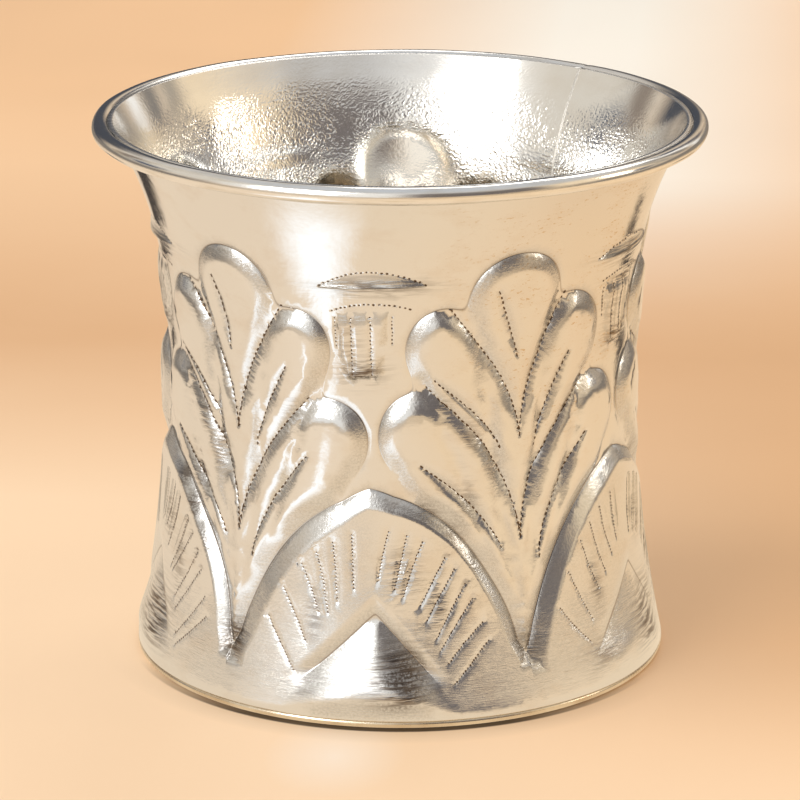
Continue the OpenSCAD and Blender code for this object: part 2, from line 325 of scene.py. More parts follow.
def palmette_grooves():
    """Grooves of one palmette, measured from its middle: valleys between the lobes, and veins in them."""
    valley = dict(width=2.3, depth=0.55, blunt=(0.0, 1.0))
    vein = dict(width=1.8, depth=0.36, blunt=(0.0, 0.3))
    yield frond((0.0, 34.2), (6.7, 51.0), 1.75), valley
    yield frond((0.0, 34.2), (-9.3, 50.6), 1.65), valley
    yield frond((0.1, 21.5), (10.2, 39.8), 1.9), valley
    yield frond((0.0, 21.8), (-12.4, 41.0), 1.95), valley
    yield frond((2.4, 32.5), (7.2, 43.6), 1.4), vein
    yield frond((-2.6, 32.8), (-11.4, 42.0), 1.4), vein
    yield frond((2.4, 18.8), (10.2, 32.8), 1.7), vein
    yield frond((-2.3, 20.4), (-13.0, 31.4), 1.4), vein
    yield frond((-0.7, 44.0), (-3.4, 52.8), 1.2), dict(vein, depth=0.38)


# Rays in each arch, by the places of their upper ends. The last on either side are shorter, and those far
# to the right are narrower
RAY_PLACES = (-13.8, -12.0, -9.6, -7.7, -5.6, -3.1, 2.0, 4.3, 6.2, 9.0, 10.3, 11.7, 12.7, 13.9, 14.5)
RAY_FOOT_Z = FOOT_BAND_Z - 0.3
RAY_HALF_W = 15.0
RAY_RISE = 19.2
RAY_LENGTH = 6.5
RAY_UNEVEN = (0.86, 1.16)
RAY_LEAN = 0.32
RAY_SHIFT = -0.4
LAST_RAYS = 13.0
LAST_RAYS_SHORTER = 1.2
NARROW_RAYS = 7.0

# The tassel over each arch: a lens-shaped welt, a dotted bar, and a raised block with four flutes, each
# with its place and its low end
LENS_MIDDLE = -0.4
LENS_HALF_W = 7.0
LENS_Z = 53.65
LENS_ABOVE = 1.75
LENS_BELOW = 0.25
LENS_RISE = 0.52
LENS_DROP = 0.16
BAR_MIDDLE = -0.5
BAR_HALF_W = 5.3
BAR_Z = 50.55
BAR_BOW = 0.75
FLUTES = ((-5.2, 46.0), (-2.9, 42.6), (-0.4, 42.4), (2.3, 46.2))
FLUTE_TOP = 49.9
BLOCK_MIDDLE = -1.6
BLOCK_RISE = 0.45
BLOCK_LOW = 42.0
BLOCK_HIGH = 50.4
BLOCK_LOW_HALF_W = 2.2
BLOCK_SPREAD = 0.2
BLOCK_BEVEL = 0.9


def lens_share(a):
    """1 in the middle of the lens, and 0 at its two ends."""
    return np.clip(1 - ((a - LENS_MIDDLE) / LENS_HALF_W) ** 2, 0, 1)


def lens_top(a):
    return LENS_Z + LENS_ABOVE * lens_share(a)


def lens_foot(a):
    return LENS_Z - LENS_BELOW * lens_share(a)


def block_edge(a, z):
    """How far inside the block a point lies. Its lower edge is steep, its upper one a long slope."""
    half = BLOCK_LOW_HALF_W + BLOCK_SPREAD * (z - BLOCK_LOW)
    ends = np.minimum((z - BLOCK_LOW) / 0.8, (BLOCK_HIGH - z) / 2.2)
    return np.minimum(half - np.abs(a - BLOCK_MIDDLE), ends)


def tassel(a, z):
    """Height of the welt, which climbs from its dotted top to a sharp lower edge, and of the block."""
    top, foot = lens_top(a), lens_foot(a)
    climb = np.clip((top - z) / np.maximum(top - foot, 0.05), 0, 1)
    drop = np.clip(1 - (foot - z) / LENS_DROP, 0, 1)
    welt = LENS_RISE * lens_share(a) ** 0.6 * climb ** 1.2 * drop
    return welt + BLOCK_RISE * bevel(block_edge(a, z) / BLOCK_BEVEL)


def arch_grooves():
    """Grooves of one arch, measured from its middle: the rays inside it, and the tassel above it."""
    ray = dict(depth=0.24, blunt=(0.8, 0.3), pitch=0.42, dot=DOT, flute=True)
    for place in RAY_PLACES:
        high = RAY_FOOT_Z + RAY_RISE * math.sqrt(1 - (place / RAY_HALF_W) ** 2)
        length = RAY_LENGTH * rng.uniform(*RAY_UNEVEN) - LAST_RAYS_SHORTER * (abs(place) > LAST_RAYS)
        low_place = place * (1 - RAY_LEAN) + RAY_SHIFT + rng.normal(0, 0.15)
        middle = ((place + low_place) / 2 + rng.normal(0, 0.08), high - length / 2)
        width = 0.85 if place < NARROW_RAYS else 0.66
        yield [(place, high), middle, (low_place, high - length)], dict(ray, width=width)
    for place, low in FLUTES:
        middle = (place * 0.98, (FLUTE_TOP + low) / 2)
        yield [(place, FLUTE_TOP), middle, (place * 0.95, low)], dict(
            width=0.85, depth=0.26, blunt=(0.5, 0.4), pitch=0.48, dot=DOT, flute=True)
    across = np.linspace(-1, 1, 13)
    lens = LENS_MIDDLE + LENS_HALF_W * across
    yield np.column_stack([lens, lens_top(lens)]), dict(
        width=0.3, depth=0.08, blunt=(0.5, 0.5), pitch=0.66, dot=LENS_DOT)
    bar_z = BAR_Z + BAR_BOW * (1 - across ** 2)
    yield np.column_stack([BAR_MIDDLE + BAR_HALF_W * across, bar_z]), dict(
        width=0.45, depth=0.18, blunt=(0.5, 0.5), pitch=0.62, dot=BAR_DOT)


# The hill in the foot of each arch
HILL_MIDDLE = 0.3
HILL_PEAK = 13.5
HILL_SLOPES = (0.9, 1.2)
HILL_LENGTH = 1.45
HILL_BLUNT = 0.2
HILL_CREASE = 0.7
HILL_COVE = 1.9
HILL_ROOF = 1.5
HILL_ROOF_W = 4.6
HILL_RIDGE = 0.7
OTHER_HILLS = 0.4


def hill_depth(a, z, blunt=HILL_BLUNT):
    """How far a point lies below the hill's two straight edges, which meet in a rounded peak."""
    a = a - HILL_MIDDLE
    slope = np.where(a < 0, *HILL_SLOPES)
    return (HILL_PEAK + HILL_BLUNT - np.hypot(slope * a, blunt) - z) / HILL_LENGTH


def hill(x, z):
    """Change of height round the hill: a cove down to the crease, and a roof that climbs inside it. The
    crease runs out above the foot, and the roof swells on below it. The front arch has the highest hill."""
    a = from_arch(x)
    worked_up = np.where(np.abs(x - FRONT_X) < REPEAT_W / 2, 1.0, OTHER_HILLS)
    depth = hill_depth(a, z)
    crisp = ramp((z - 4.4) / 3.0)
    cove = HILL_CREASE * (1 - np.sin(np.clip(-depth / HILL_COVE, 0, 1) * math.pi / 2))
    climb = np.clip(hill_depth(a, z, HILL_RIDGE) / HILL_ROOF_W, 0, 1)
    roof = crisp * (1 - (1 - climb) ** 1.5) + (1 - crisp) * ramp(climb)
    roof = HILL_ROOF * roof * ramp((z - 0.5) / 3.8)
    return worked_up * np.where(depth > 0, roof - HILL_CREASE * crisp, -cove * crisp)


# Heights. The back of the sheet follows the front more softly
BEVEL_SLOPE = 0.48
CREST_ROUND = 0.3
LOBE_SIDE = 0.5
LOBE_TURN = 0.9
LOBE_RISE_W = 2.7
PILLOW = 0.2
PILLOW_W = 5.0
ARCH_BEVEL = 2.3
ARCH_BEVEL_BIAS = 0.4
LINE_DEPTH = 0.07
LINE_W = 0.12
LINE_DIRT = 0.14
DEEPEST_CUT = 0.9
BACK_OUTSET = 1.2
BACK_SHARE = 0.65
BACK_TASSEL = 0.7
BACK_WIDER_CUT = 1.35
BACK_CUT = 0.75


def soft_min(first, second, blend):
    """The lesser of two heights, rounded where they meet."""
    overlap = np.clip(1 - np.abs(first - second) / blend, 0, 1)
    return np.minimum(first, second) - overlap ** 2 * blend / 4


def lobe_edge(turn):
    """How crisp a lobe's edge is: wholly at the tip, less along the sides."""
    return np.clip(LOBE_SIDE + LOBE_TURN * turn, 0, 1)


def lobe_plateau(inside, turn):
    """Height of a lobe within its bevel: full towards the tip, and low along the sides."""
    edge = lobe_edge(turn)
    return RELIEF * (edge + (1 - edge) * ramp(inside / LOBE_RISE_W)) + PILLOW * ramp(inside / PILLOW_W)


def palmette_height(u, z, a, outset):
    """Height of a palmette, and how sharp its outline is. An outset makes it broader all round."""
    gap, turn = union_gap(u, z)
    inside = np.maximum(outset - gap, 0)
    height = soft_min(BEVEL_SLOPE * inside, lobe_plateau(inside, turn), CREST_ROUND)
    from_edge = arch_gap(a, z)
    height = np.maximum(soft_min(height, BEVEL_SLOPE * (from_edge - CHANNEL_W), CREST_ROUND), 0)
    line = lobe_edge(turn) * np.exp(-(gap / LINE_W) ** 2) * (from_edge > 0.3)
    return height, line


def arch_bevel_width(a):
    """Width of the arch's bevel, which is a little broader on the left."""
    return ARCH_BEVEL - ARCH_BEVEL_BIAS * np.clip(a / 4, -1, 1)


def field(x, z, soft):
    """Height of the raised fields without grooves, and how close a point is to their chased outlines. A soft
    field has no crisp foot, as on the sheet's back."""
    u, a = from_palmette(x), from_arch(x)
    inside_arch = -foot_gap(a, z)
    share = inside_arch / arch_bevel_width(a)
    arch = ramp(share) if soft else bevel(share)
    palmette, line = palmette_height(u, z, a, BACK_OUTSET if soft else 0.0)
    height = np.maximum(palmette, RELIEF * arch) + ramp(share) * hill(x, z)
    height = height + tassel(a, z) * (BACK_TASSEL if soft else 1)
    line = np.maximum(line, np.exp(-(inside_arch / LINE_W) ** 2) * (z > STEM_FOOT_Z + 0.5))
    if soft:
        return height, line
    crease = np.exp(-(hill_depth(a, z) / LINE_W) ** 2) * ramp((z - 6.0) / 2)
    return height - LINE_DEPTH * line, np.maximum(line, crease)


def all_grooves():
    """Every groove on the strip. Those of the arch at the seam are cut by the strip's ends."""
    grooves = []
    for k in range(REPEATS):
        for points, facts in palmette_grooves():
            grooves.append(Groove(np.array(points) + ((k + 0.5) * REPEAT_W, 0), **facts))
    for k in range(REPEATS + 1):
        for points, facts in arch_grooves():
            grooves.append(Groove(np.array(points) + (k * REPEAT_W, 0), **facts))
    return grooves


GROOVES = all_grooves()


def relief(x, z, fine=True):
    """Height of the ornament above the ground, and how much dirt gathers there. Without the fine work it is
    the softer form of the sheet's back."""
    height, line = field(x, z, not fine)
    cut = np.zeros(len(x))
    dot = np.zeros(len(x))
    dirt = np.zeros(len(x))
    for groove in GROOVES:
        near = groove.near(x, z)
        if not len(near):
            continue
        cut[near] = np.maximum(cut[near], groove.cut(x[near], z[near], 1.0 if fine else BACK_WIDER_CUT))
        if fine:
            deep, inside = groove.dot_cut(x[near], z[near])
            dot[near] = np.maximum(dot[near], deep)
            dirt[near] = np.maximum(dirt[near], inside)
    cut = np.minimum(cut, DEEPEST_CUT * np.maximum(height, 0))
    if not fine:
        return height - BACK_CUT * cut, dirt
    return height - cut - dot, np.maximum(dirt, LINE_DIRT * line)


# Places that polishing missed, with painted shade where slopes and the hill's right half read dark: middle,
# half width, height, half height and amount. They are counted from an arch's middle, from the middle of the
# arch to the right of the front, and from a palmette's middle
ARCH_SOOT_AND_SHADE = (
    (3.0, 3.4, 6.0, 3.8, 1.6), (-8.5, 3.0, 5.0, 1.8, 0.6), (0.4, 6.2, 53.6, 0.7, 1.1),
    (-1.7, 2.4, 43.0, 1.3, 1.4), (-3.2, 1.6, 46.5, 3.0, 0.5),
    (3.6, 2.0, 18.5, 2.6, 0.6), (-7.6, 1.0, 13.0, 3.0, 0.7), (8.0, 1.2, 14.0, 3.0, 0.7),
)
SIDE_SOOT_AND_SHADE = ((0.4, 5.2, 53.6, 1.1, 1.1), (0.2, 4.2, 50.3, 0.6, 1.0))
STEM_SOOT_AND_SHADE = (
    (0.3, 2.0, 8.0, 2.6, 1.5), (-7.2, 1.8, 27.0, 3.5, 0.9), (-3.6, 1.3, 30.5, 2.6, 0.8),
    (-6.5, 1.4, 34.3, 2.6, 0.9), (-9.8, 1.4, 38.0, 2.2, 0.7), (-6.8, 1.4, 17.5, 2.6, 1.2),
    (-9.3, 1.6, 21.5, 2.6, 1.3), (-12.2, 1.8, 25.2, 2.4, 1.1), (-8.6, 1.2, 46.0, 2.0, 0.4),
    (8.0, 1.4, 37.0, 3.0, 0.4),
)
SIDE_ARCH_X = 4 * REPEAT_W
SHADED_SOOTY_PALMETTE_X = 2.5 * REPEAT_W
CLEAN_SHARE = 0.6
FOOT_CLEAN_TO = 1.8


def soot_and_shade(x, z, steep):
    """How much dull tarnish and painted shade is left on the wall, before its texture. On the palmettes it
    keeps to their slopes, where it stands in for shade, and the one to the left of the front has the most."""
    left = np.zeros(len(x))
    share = np.where(np.abs(x - SHADED_SOOTY_PALMETTE_X) < REPEAT_W / 2, 1.0, CLEAN_SHARE)
    on_slopes = share * ramp((steep - 0.06) / 0.2)
    for across, spots, held in ((from_arch(x), ARCH_SOOT_AND_SHADE, 1.0), (x - SIDE_ARCH_X, SIDE_SOOT_AND_SHADE, 1.0),
                                (from_palmette(x), STEM_SOOT_AND_SHADE, on_slopes)):
        for middle, half_w, up, half_h, amount in spots:
            spot = amount * held * np.exp(-((across - middle) / half_w) ** 2 - ((z - up) / half_h) ** 2)
            left = np.maximum(left, spot)
    return left * ramp((z - FOOT_CLEAN_TO) / 1.6)


# The hand's unevenness: how far each palmette is set aside, how far the drawing climbs to the back, and how
# far from the strip's edges and ends this has its full amount
SLIPS = (2.8, -0.5, 0.3, -1.2, 0.5)
CLIMB = 0.75
STILL_EDGE = 8.0
STILL_END = 12.0


def slip(x):
    """How far the hand set each palmette to the side of its place, eased in between."""
    place = x / REPEAT_W - 0.5
    low = np.floor(place).astype(int)
    first, second = np.take(SLIPS, low, mode="wrap"), np.take(SLIPS, low + 1, mode="wrap")
    return first + (second - first) * ramp(place - low)


def warp(x, z):
    """Places on the drawing as the hand set them: up to 3 mm off, and true along the strip's edges."""
    window = np.clip(np.minimum(z - BASE_T, WALL_TOP - z) / STILL_EDGE, 0, 1)
    window = window * np.clip(np.minimum(x, STRIP_W - x) / STILL_END, 0, 1)
    turn = 2 * math.pi / STRIP_W
    front = x - FRONT_X
    dx = slip(x) + 0.15 * np.sin(13 * turn * front - 0.17 * z + 1.3)
    dz = 0.25 * np.sin(4 * turn * front) + 0.18 * np.sin(7 * turn * front + 0.05 * z - 1.2)
    dz = dz + CLIMB * (1 - np.cos(turn * front))
    return x + window * dx, z + window * dz


def wall_point(x, z, height):
    """Places on the wall, in metres."""
    wx, wz = warp(x, z)
    angle = np.radians(SEAM_ANGLE + HALF_SEAM + (360 - 2 * HALF_SEAM) * wx / STRIP_W)
    r = ground_r(wz) + height
    return np.stack([r * np.cos(angle), r * np.sin(angle), wz], -1) * MM


def unit(vectors):
    return vectors / np.linalg.norm(vectors, axis=1)[:, None]


def wall_normals(x, z, fine=True, step=0.04):
    """Directions square to the wall's face, and the steepness of its ornament."""
    ends = []
    heights = []
    for dx, dz in ((step, 0), (-step, 0), (0, step), (0, -step)):
        px, pz = x + dx, z + dz
        heights.append(relief(px, pz, fine)[0])
        ends.append(wall_point(px, pz, heights[-1]))
    normals = np.cross(ends[0] - ends[1], ends[2] - ends[3])
    steep = np.hypot(heights[0] - heights[1], heights[2] - heights[3]) / (2 * step)
    return unit(normals), steep


# Points of the wall's faces, and the lines that the outer face's edges follow
COLUMNS = 280
ACROSS = COLUMNS + 1
ROWS_BELOW, ROWS_ABOVE = 46, 34
ROWS = ROWS_BELOW + ROWS_ABOVE
FINE_FROM_Z = 48.0
GRID_PITCH = 1.05
GRID_APART = 0.6
FINE_PITCH = 0.62
FINE_APART = 0.36
BEND = 0.03
STRIP_MARGIN = 0.2
POINT_MERGE = 0.02
column_x = np.linspace(0, STRIP_W, ACROSS)
row_z = np.concatenate([np.linspace(BASE_T, FINE_FROM_Z, ROWS_BELOW, endpoint=False),
                        np.linspace(FINE_FROM_Z, WALL_TOP, ROWS_ABOVE + 1)])

# Levels of a distance, each with the spacing of the points on its line
OUTLINE_LEVELS = ((0.0, 0.26), (0.14, 0.36), (-0.14, 0.36))
CREST_LEVELS = ((-0.2, 0.4), (0.2, 0.4))
ARCH_BEVEL_LEVELS = ((-BEVEL_STRAIGHT, 0.4), (-1.0, 0.4))
HILL_DEPTHS = (0.0, 0.15, -0.15, -HILL_COVE)
LENS_DROPS = (-0.07, 0.06, LENS_DROP - 0.05, LENS_DROP + 0.06)

# Where rays start, their angles in degrees, and their length
PALMETTE_RAYS = ((0.0, 36.0), np.arange(-89.9, 270, 0.2), 34)
ARCH_RAYS = ((0.0, 1.5), np.arange(3, 177.1, 0.2), 32)


def even(line, spacing):
    """The line with points at even distances."""
    run = np.concatenate([[0], np.cumsum(np.linalg.norm(np.diff(line, axis=0), axis=1))])
    at = np.linspace(0, run[-1], max(2, round(run[-1] / spacing) + 1))
    return np.column_stack([np.interp(at, run, line[:, 0]), np.interp(at, run, line[:, 1])])


def crossing(gap, centre, angles, reach):
    """The lines where rays from a centre first leave the negative side of a distance."""
    turn = np.radians(angles)[:, None]
    run = np.arange(0.2, reach, 0.2)
    out = gap(centre[0] + np.cos(turn) * run, centre[1] + np.sin(turn) * run) > 0
    first = out.argmax(1)
    found = first > 0
    low, high = run[first[found] - 1], run[first[found]]
    turn = turn[found, 0]
    for _ in range(14):
        middle = (low + high) / 2
        beyond = gap(centre[0] + np.cos(turn) * middle, centre[1] + np.sin(turn) * middle) > 0
        low, high = np.where(beyond, low, middle), np.where(beyond, middle, high)
    line = np.column_stack([centre[0] + np.cos(turn) * high, centre[1] + np.sin(turn) * high])
    jumps = np.flatnonzero(np.linalg.norm(np.diff(line, axis=0), axis=1) > 0.7) + 1
    return [part for part in np.split(line, jumps) if len(part) > 3]


def contours(gap, levels, rays):
    """The lines along which a distance has the given levels, each with its points' spacing."""
    for level, spacing in levels:
        for line in crossing(lambda x, z: gap(x, z) - level, *rays):
            yield line, spacing


def channel_gap(u, z):
    """Distance from the channel that cuts a palmette off beside the arches, negative beyond it."""
    return CHANNEL_W - arch_gap(from_arch(u + REPEAT_W / 2), z)


def outline_gap(u, z):
    """A palmette's outline."""
    return np.maximum(union_gap(u, z)[0], channel_gap(u, z))


def crest_gap(u, z):
    """Where the bevels of a palmette end, negative on its plateau."""
    gap, turn = union_gap(u, z)
    by_lobe = lobe_plateau(np.maximum(-gap, 0), turn) / BEVEL_SLOPE + gap
    return np.maximum(by_lobe, RELIEF / BEVEL_SLOPE + channel_gap(u, z))


def palmette_lines():
    """Lines that the edges of a palmette follow, each with the distance between its points."""
    yield from contours(outline_gap, OUTLINE_LEVELS, PALMETTE_RAYS)
    yield from contours(crest_gap, CREST_LEVELS, PALMETTE_RAYS)


def arch_lines():
    """The same for an arch, the hill in it and the tassel over it."""
    yield from contours(arch_gap, OUTLINE_LEVELS, ARCH_RAYS)
    yield from contours(lambda a, z: arch_gap(a, z) / arch_bevel_width(a), ARCH_BEVEL_LEVELS, ARCH_RAYS)
    for a in (HILL_MIDDLE - 0.5, HILL_MIDDLE, HILL_MIDDLE + 0.5):
        yield np.array([(a, 4.0), (a, HILL_PEAK - 1.2)]), 0.6
    a = np.linspace(-12, 10, 400)
    for depth in HILL_DEPTHS:
        z = (hill_depth(a, 0.0) - depth) * HILL_LENGTH
        yield np.column_stack([a, z])[z > 5.0], 0.3
    a = LENS_MIDDLE + np.linspace(-0.995, 0.995, 80) * LENS_HALF_W
    for drop in LENS_DROPS:
        yield np.column_stack([a, lens_foot(a) - drop]), 0.25


def dot_points(groove, along, across):
    """Points of each dot, given along and across it as shares of its half length and half width."""
    x, z, way, half_l, half_w, _ = groove.dots.T[:, :, None]
    along, across = half_l * np.array(along), half_w * np.array(across)
    return np.column_stack([
        (x + along * np.cos(way) - across * np.sin(way)).ravel(),
        (z + along * np.sin(way) + across * np.cos(way)).ravel()])


def all_lines():
    """Every line on the strip that the mesh's edges follow."""
    for k in range(REPEATS):
        for line, spacing in palmette_lines():
            yield even(line, spacing) + ((k + 0.5) * REPEAT_W, 0)
    for k in range(REPEATS + 1):
        for line, spacing in arch_lines():
            yield even(line, spacing) + (k * REPEAT_W, 0)
    for groove in GROOVES:
        yield dot_points(groove, (-1, 0, 1), (0, 0, 0))
        for share in (1 - FLUTE_SIDE, 1.02) if groove.flute else (0.55, 1.05):
            yield from groove.beside(0.5, share)
            yield from groove.round_ends(share)


def on_strip(points):
    """Which points lie on the strip, clear of its edges."""
    x, z = points.T
    inside = (x > STRIP_MARGIN) & (x < STRIP_W - STRIP_MARGIN)
    return inside & (z > BASE_T + STRIP_MARGIN) & (z < WALL_TOP - STRIP_MARGIN)


def kept_away(points, taken, spacing):
    """Those points that keep their distance from the points taken before."""
    points = points[on_strip(points)]
    before = kdtree.KDTree(len(taken))
    for i, p in enumerate(taken):
        before.insert((p[0], p[1], 0), i)
    before.balance()
    return points[[before.find((p[0], p[1], 0))[2] > spacing for p in points]]


def staggered(pitch):
    """Points all over the strip, in rows that stand over each other's gaps."""
    x, z = np.meshgrid(np.arange(0, STRIP_W, pitch), np.arange(BASE_T, WALL_TOP, pitch * 0.866))
    x = x + pitch / 2 * (np.arange(len(x)) % 2)[:, None]
    return np.column_stack([x.ravel(), z.ravel()])


def bends(points, step=0.5):
    """Whether the ornament curves at a point."""
    x, z = points.T
    middle = relief(x, z, fine=False)[0]
    curve = 0.0
    for dx, dz in ((step, 0), (0, step)):
        ahead, behind = relief(x + dx, z + dz, fine=False)[0], relief(x - dx, z - dz, fine=False)[0]
        curve = curve + np.abs(ahead + behind - 2 * middle)
    return curve > BEND


def outer_points():
    """Points of the outer face, and the pairs of them that have to be joined by an edge. The points of the
    strip's foot, top and two ends come first."""
    foot = np.column_stack([column_x, np.full(ACROSS, BASE_T)])
    top = np.column_stack([column_x, np.full(ACROSS, WALL_TOP)])
    first = np.column_stack([np.zeros(ROWS - 1), row_z[1:-1]])
    last = np.column_stack([np.full(ROWS - 1, STRIP_W), row_z[1:-1]])
    groups = [foot, top, first, last]
    count = sum(len(g) for g in groups)
    pairs = []
    for line in all_lines():
        kept = np.flatnonzero(on_strip(line))
        groups.append(line[kept])
        pairs += [(count + i, count + i + 1) for i in np.flatnonzero(np.diff(kept) == 1)]
        count += len(kept)
    rings = [dot_points(g, (-0.5, 0.5, 0.5, -0.5), (0.87, 0.87, -0.87, -0.87)) for g in GROOVES]
    rings = np.concatenate(rings)
    groups.append(rings[on_strip(rings)])
    fine = staggered(FINE_PITCH)
    groups.append(kept_away(fine[bends(fine)], np.concatenate(groups), FINE_APART))
    groups.append(kept_away(staggered(GRID_PITCH), np.concatenate(groups), GRID_APART))
    return np.concatenate(groups), pairs


def placed(name, data):
    """A new object in the scene."""
    piece = bpy.data.objects.new(name, data)
    bpy.context.scene.collection.objects.link(piece)
    return piece


def corner_points(mesh):
    """The number of the point at each corner of each face."""
    corners = np.zeros(len(mesh.loops), np.int32)
    mesh.loops.foreach_get("vertex_index", corners)
    return corners


def mesh_from(name, points, faces, uv):
    """A smooth mesh. uv gives each point's place on the drawing, in millimetres."""
    mesh = bpy.data.meshes.new(name)
    mesh.from_pydata([tuple(p) for p in points], [], [tuple(f) for f in faces])
    mesh.polygons.foreach_set("use_smooth", [True] * len(mesh.polygons))
    layer = mesh.uv_layers.new(name="drawing")
    layer.data.foreach_set("uv", (np.asarray(uv, np.float32) / 100)[corner_points(mesh)].ravel())
    mesh.update()
    return mesh


def softened(grid):
    """A grid of heights, blurred along both of its directions."""
    padded = np.pad(grid, 1, mode="edge")
    grid = (padded[1:-1, :-2] + 2 * padded[1:-1, 1:-1] + padded[1:-1, 2:]) / 4
    padded = np.pad(grid, 1, mode="edge")
    return (padded[:-2, 1:-1] + 2 * padded[1:-1, 1:-1] + padded[2:, 1:-1]) / 4


def back_face():
    """The sheet's inner face: rows of points, and the directions out of it, towards the axis. The ornament
    shows through it, softly. Also how far each point was pressed out."""
    x, z = np.meshgrid(column_x, row_z)
    height = relief(x.ravel(), z.ravel(), fine=False)[0]
    points = wall_point(x, z, BACK_SHARE * softened(height.reshape(x.shape)) - SHEET_T)
    normals = np.cross(np.gradient(points, axis=0), np.gradient(points, axis=1)).reshape(-1, 3)
    return points, unit(normals).reshape(points.shape), ramp(height / RELIEF)


BACK, BACK_NORMALS, BACK_PRESSED = back_face()


def strip(first, second):
    """Quads between two lines of points, given by their numbers."""
    return [tuple(f) for f in np.column_stack([first[:-1], first[1:], second[1:], second[:-1]])]


def wall_faces(start):
    """Quads of the inner face, whose first point is start, and of the edges between both faces."""
    inner = start + np.arange((ROWS + 1) * ACROSS).reshape(ROWS + 1, ACROSS)
    foot, top = np.arange(2 * ACROSS).reshape(2, ACROSS)
    first, last = 2 * ACROSS + np.arange(2 * ROWS - 2).reshape(2, ROWS - 1)
    first = np.concatenate([foot[:1], first, top[:1]])
    last = np.concatenate([foot[-1:], last, top[-1:]])
    face = [quad for left, right in zip(inner.T[:-1], inner.T[1:]) for quad in strip(left, right)]
    edges = strip(foot[::-1], inner[0, ::-1]) + strip(top, inner[-1])
    return face, edges + strip(first, inner[:, 0]) + strip(inner[:, -1], last)


def build_wall():
    """One sheet: the triangulated outer face, a plainer inner face, and the edges between them. Its points
    carry what the materials read: dirt, how far they were worked (partly painted shade on steep slopes), and
    soot with painted shade."""
    flat, pairs = outer_points()
    made = delaunay_2d_cdt([Vector(p) for p in flat], pairs, [], 0, POINT_MERGE)
    outer_xz = np.array([tuple(p) for p in made[0]])
    x, z = outer_xz[:, 0], outer_xz[:, 1]
    height, dirt = relief(x, z)
    outer_normals, steep = wall_normals(x, z)
    in_arch = ramp(-foot_gap(from_arch(x), z) / 3) * ramp((z - 3) / 2)
    left_half = ramp(0.5 - from_arch(x) / 6)
    # How far the sheet was worked: its steep slopes, and the left half of each arch. The materials also
    # darken these, as painted shade.
    worked = np.maximum(ramp((steep - 0.2) / 0.3), 0.45 * (in_arch * left_half))

    outer_faces = [tuple(f) for f in made[2]]
    inner_faces, edge_faces = wall_faces(len(outer_xz))
    faces = outer_faces + inner_faces + edge_faces
    points = np.concatenate([wall_point(x, z, height), BACK.reshape(-1, 3)])
    inner_xz = np.stack(np.meshgrid(column_x, row_z), -1).reshape(-1, 2)
    mesh = mesh_from("side_wall_sheet", points, faces, np.concatenate([outer_xz, inner_xz]))

    slots = np.repeat([0, 1, 2], [len(outer_faces), len(inner_faces), len(edge_faces)])
    mesh.polygons.foreach_set("material_index", slots.astype(np.int32))
    normals = np.concatenate([outer_normals, BACK_NORMALS.reshape(-1, 3)])[corner_points(mesh)]
    normals[-4 * len(edge_faces):] = 0
    mesh.normals_split_custom_set([tuple(n) for n in normals])
    plain = np.zeros(len(inner_xz))
    for name, outside, inside in (
            ("dirt", dirt, plain), ("worked", worked, BACK_PRESSED), ("soot_and_shade", soot_and_shade(x, z, steep), plain)):
        layer = mesh.attributes.new(name, "FLOAT", "POINT")
        layer.data.foreach_set("value", np.concatenate([outside, inside]).astype(np.float32))
    return mesh


wall = placed("side_wall_sheet", build_wall())
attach(wall, "root")
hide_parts("side_wall")

SOLDER_PROUD = 0.01


def build_seam():
    """The solder that fills the seam, all but flush with the sheet on both faces."""
    z = np.repeat(row_z, 2)
    x = np.tile([STRIP_W, 0.0], len(row_z))
    out = wall_point(x, z, relief(x, z)[0] + SOLDER_PROUD)
    inwards = 1 - SOLDER_PROUD / WAIST_R
    back = BACK[:, [-1, 0]].reshape(-1, 3) * np.array([inwards, inwards, 1])
    last, first = np.arange(len(out)).reshape(-1, 2).T
    lines = [last, first, first + len(out), last + len(out)]
    faces = [tuple(line[0] for line in lines[::-1]), tuple(line[-1] for line in lines)]
    for line, following in zip(lines, lines[1:] + lines[:1]):
        faces += strip(following, line)
    mesh = mesh_from("seam_solder_fill", np.concatenate([out, back]), faces,
                     np.tile(np.column_stack([x, z]), (2, 1)))
    outwards = wall_normals(np.clip(x, 0.1, STRIP_W - 0.1), z, fine=False)[0]
    normals = np.concatenate([outwards, BACK_NORMALS[:, [-1, 0]].reshape(-1, 3)])
    mesh.normals_split_custom_set_from_vertices([tuple(n) for n in normals])
    return mesh


seam = placed("seam_solder_fill", build_seam())
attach(seam, "root")
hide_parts("seam_solder")


def turned(name, profile, around, wobble, closed=True):
    """A profile of r and z, turned round the axis. wobble changes r and z by the angle."""
    profile = np.array(profile, float)
    rings = []
    for angle in np.arange(around) * 2 * math.pi / around:
        r, z = wobble(profile[:, 0], profile[:, 1], angle)
        rings.append(np.column_stack([r * math.cos(angle), r * math.sin(angle), z]))
    n = len(profile)
    faces = []
    for i in range(around):
        here, ahead = i * n, (i + 1) % around * n
        for k in range(n if closed else n - 1):
            m = (k + 1) % n
            faces.append((here + k, ahead + k, ahead + m, here + m))
    turn = np.repeat(np.arange(around), n) / around * STRIP_W
    uv = np.column_stack([turn, np.tile(np.arange(n) / n * 10, around)])
    return mesh_from(name, np.concatenate(rings) * MM, faces, uv)


def ripple(angle, *waves):
    """A sum of waves round the axis, each with a height, a count and a start."""
    return sum(height * math.sin(count * angle + start) for height, count, start in waves)


WIRE_SHARE = 0.975
JOINT_PINCH = 0.06
JOINT_W = 0.6


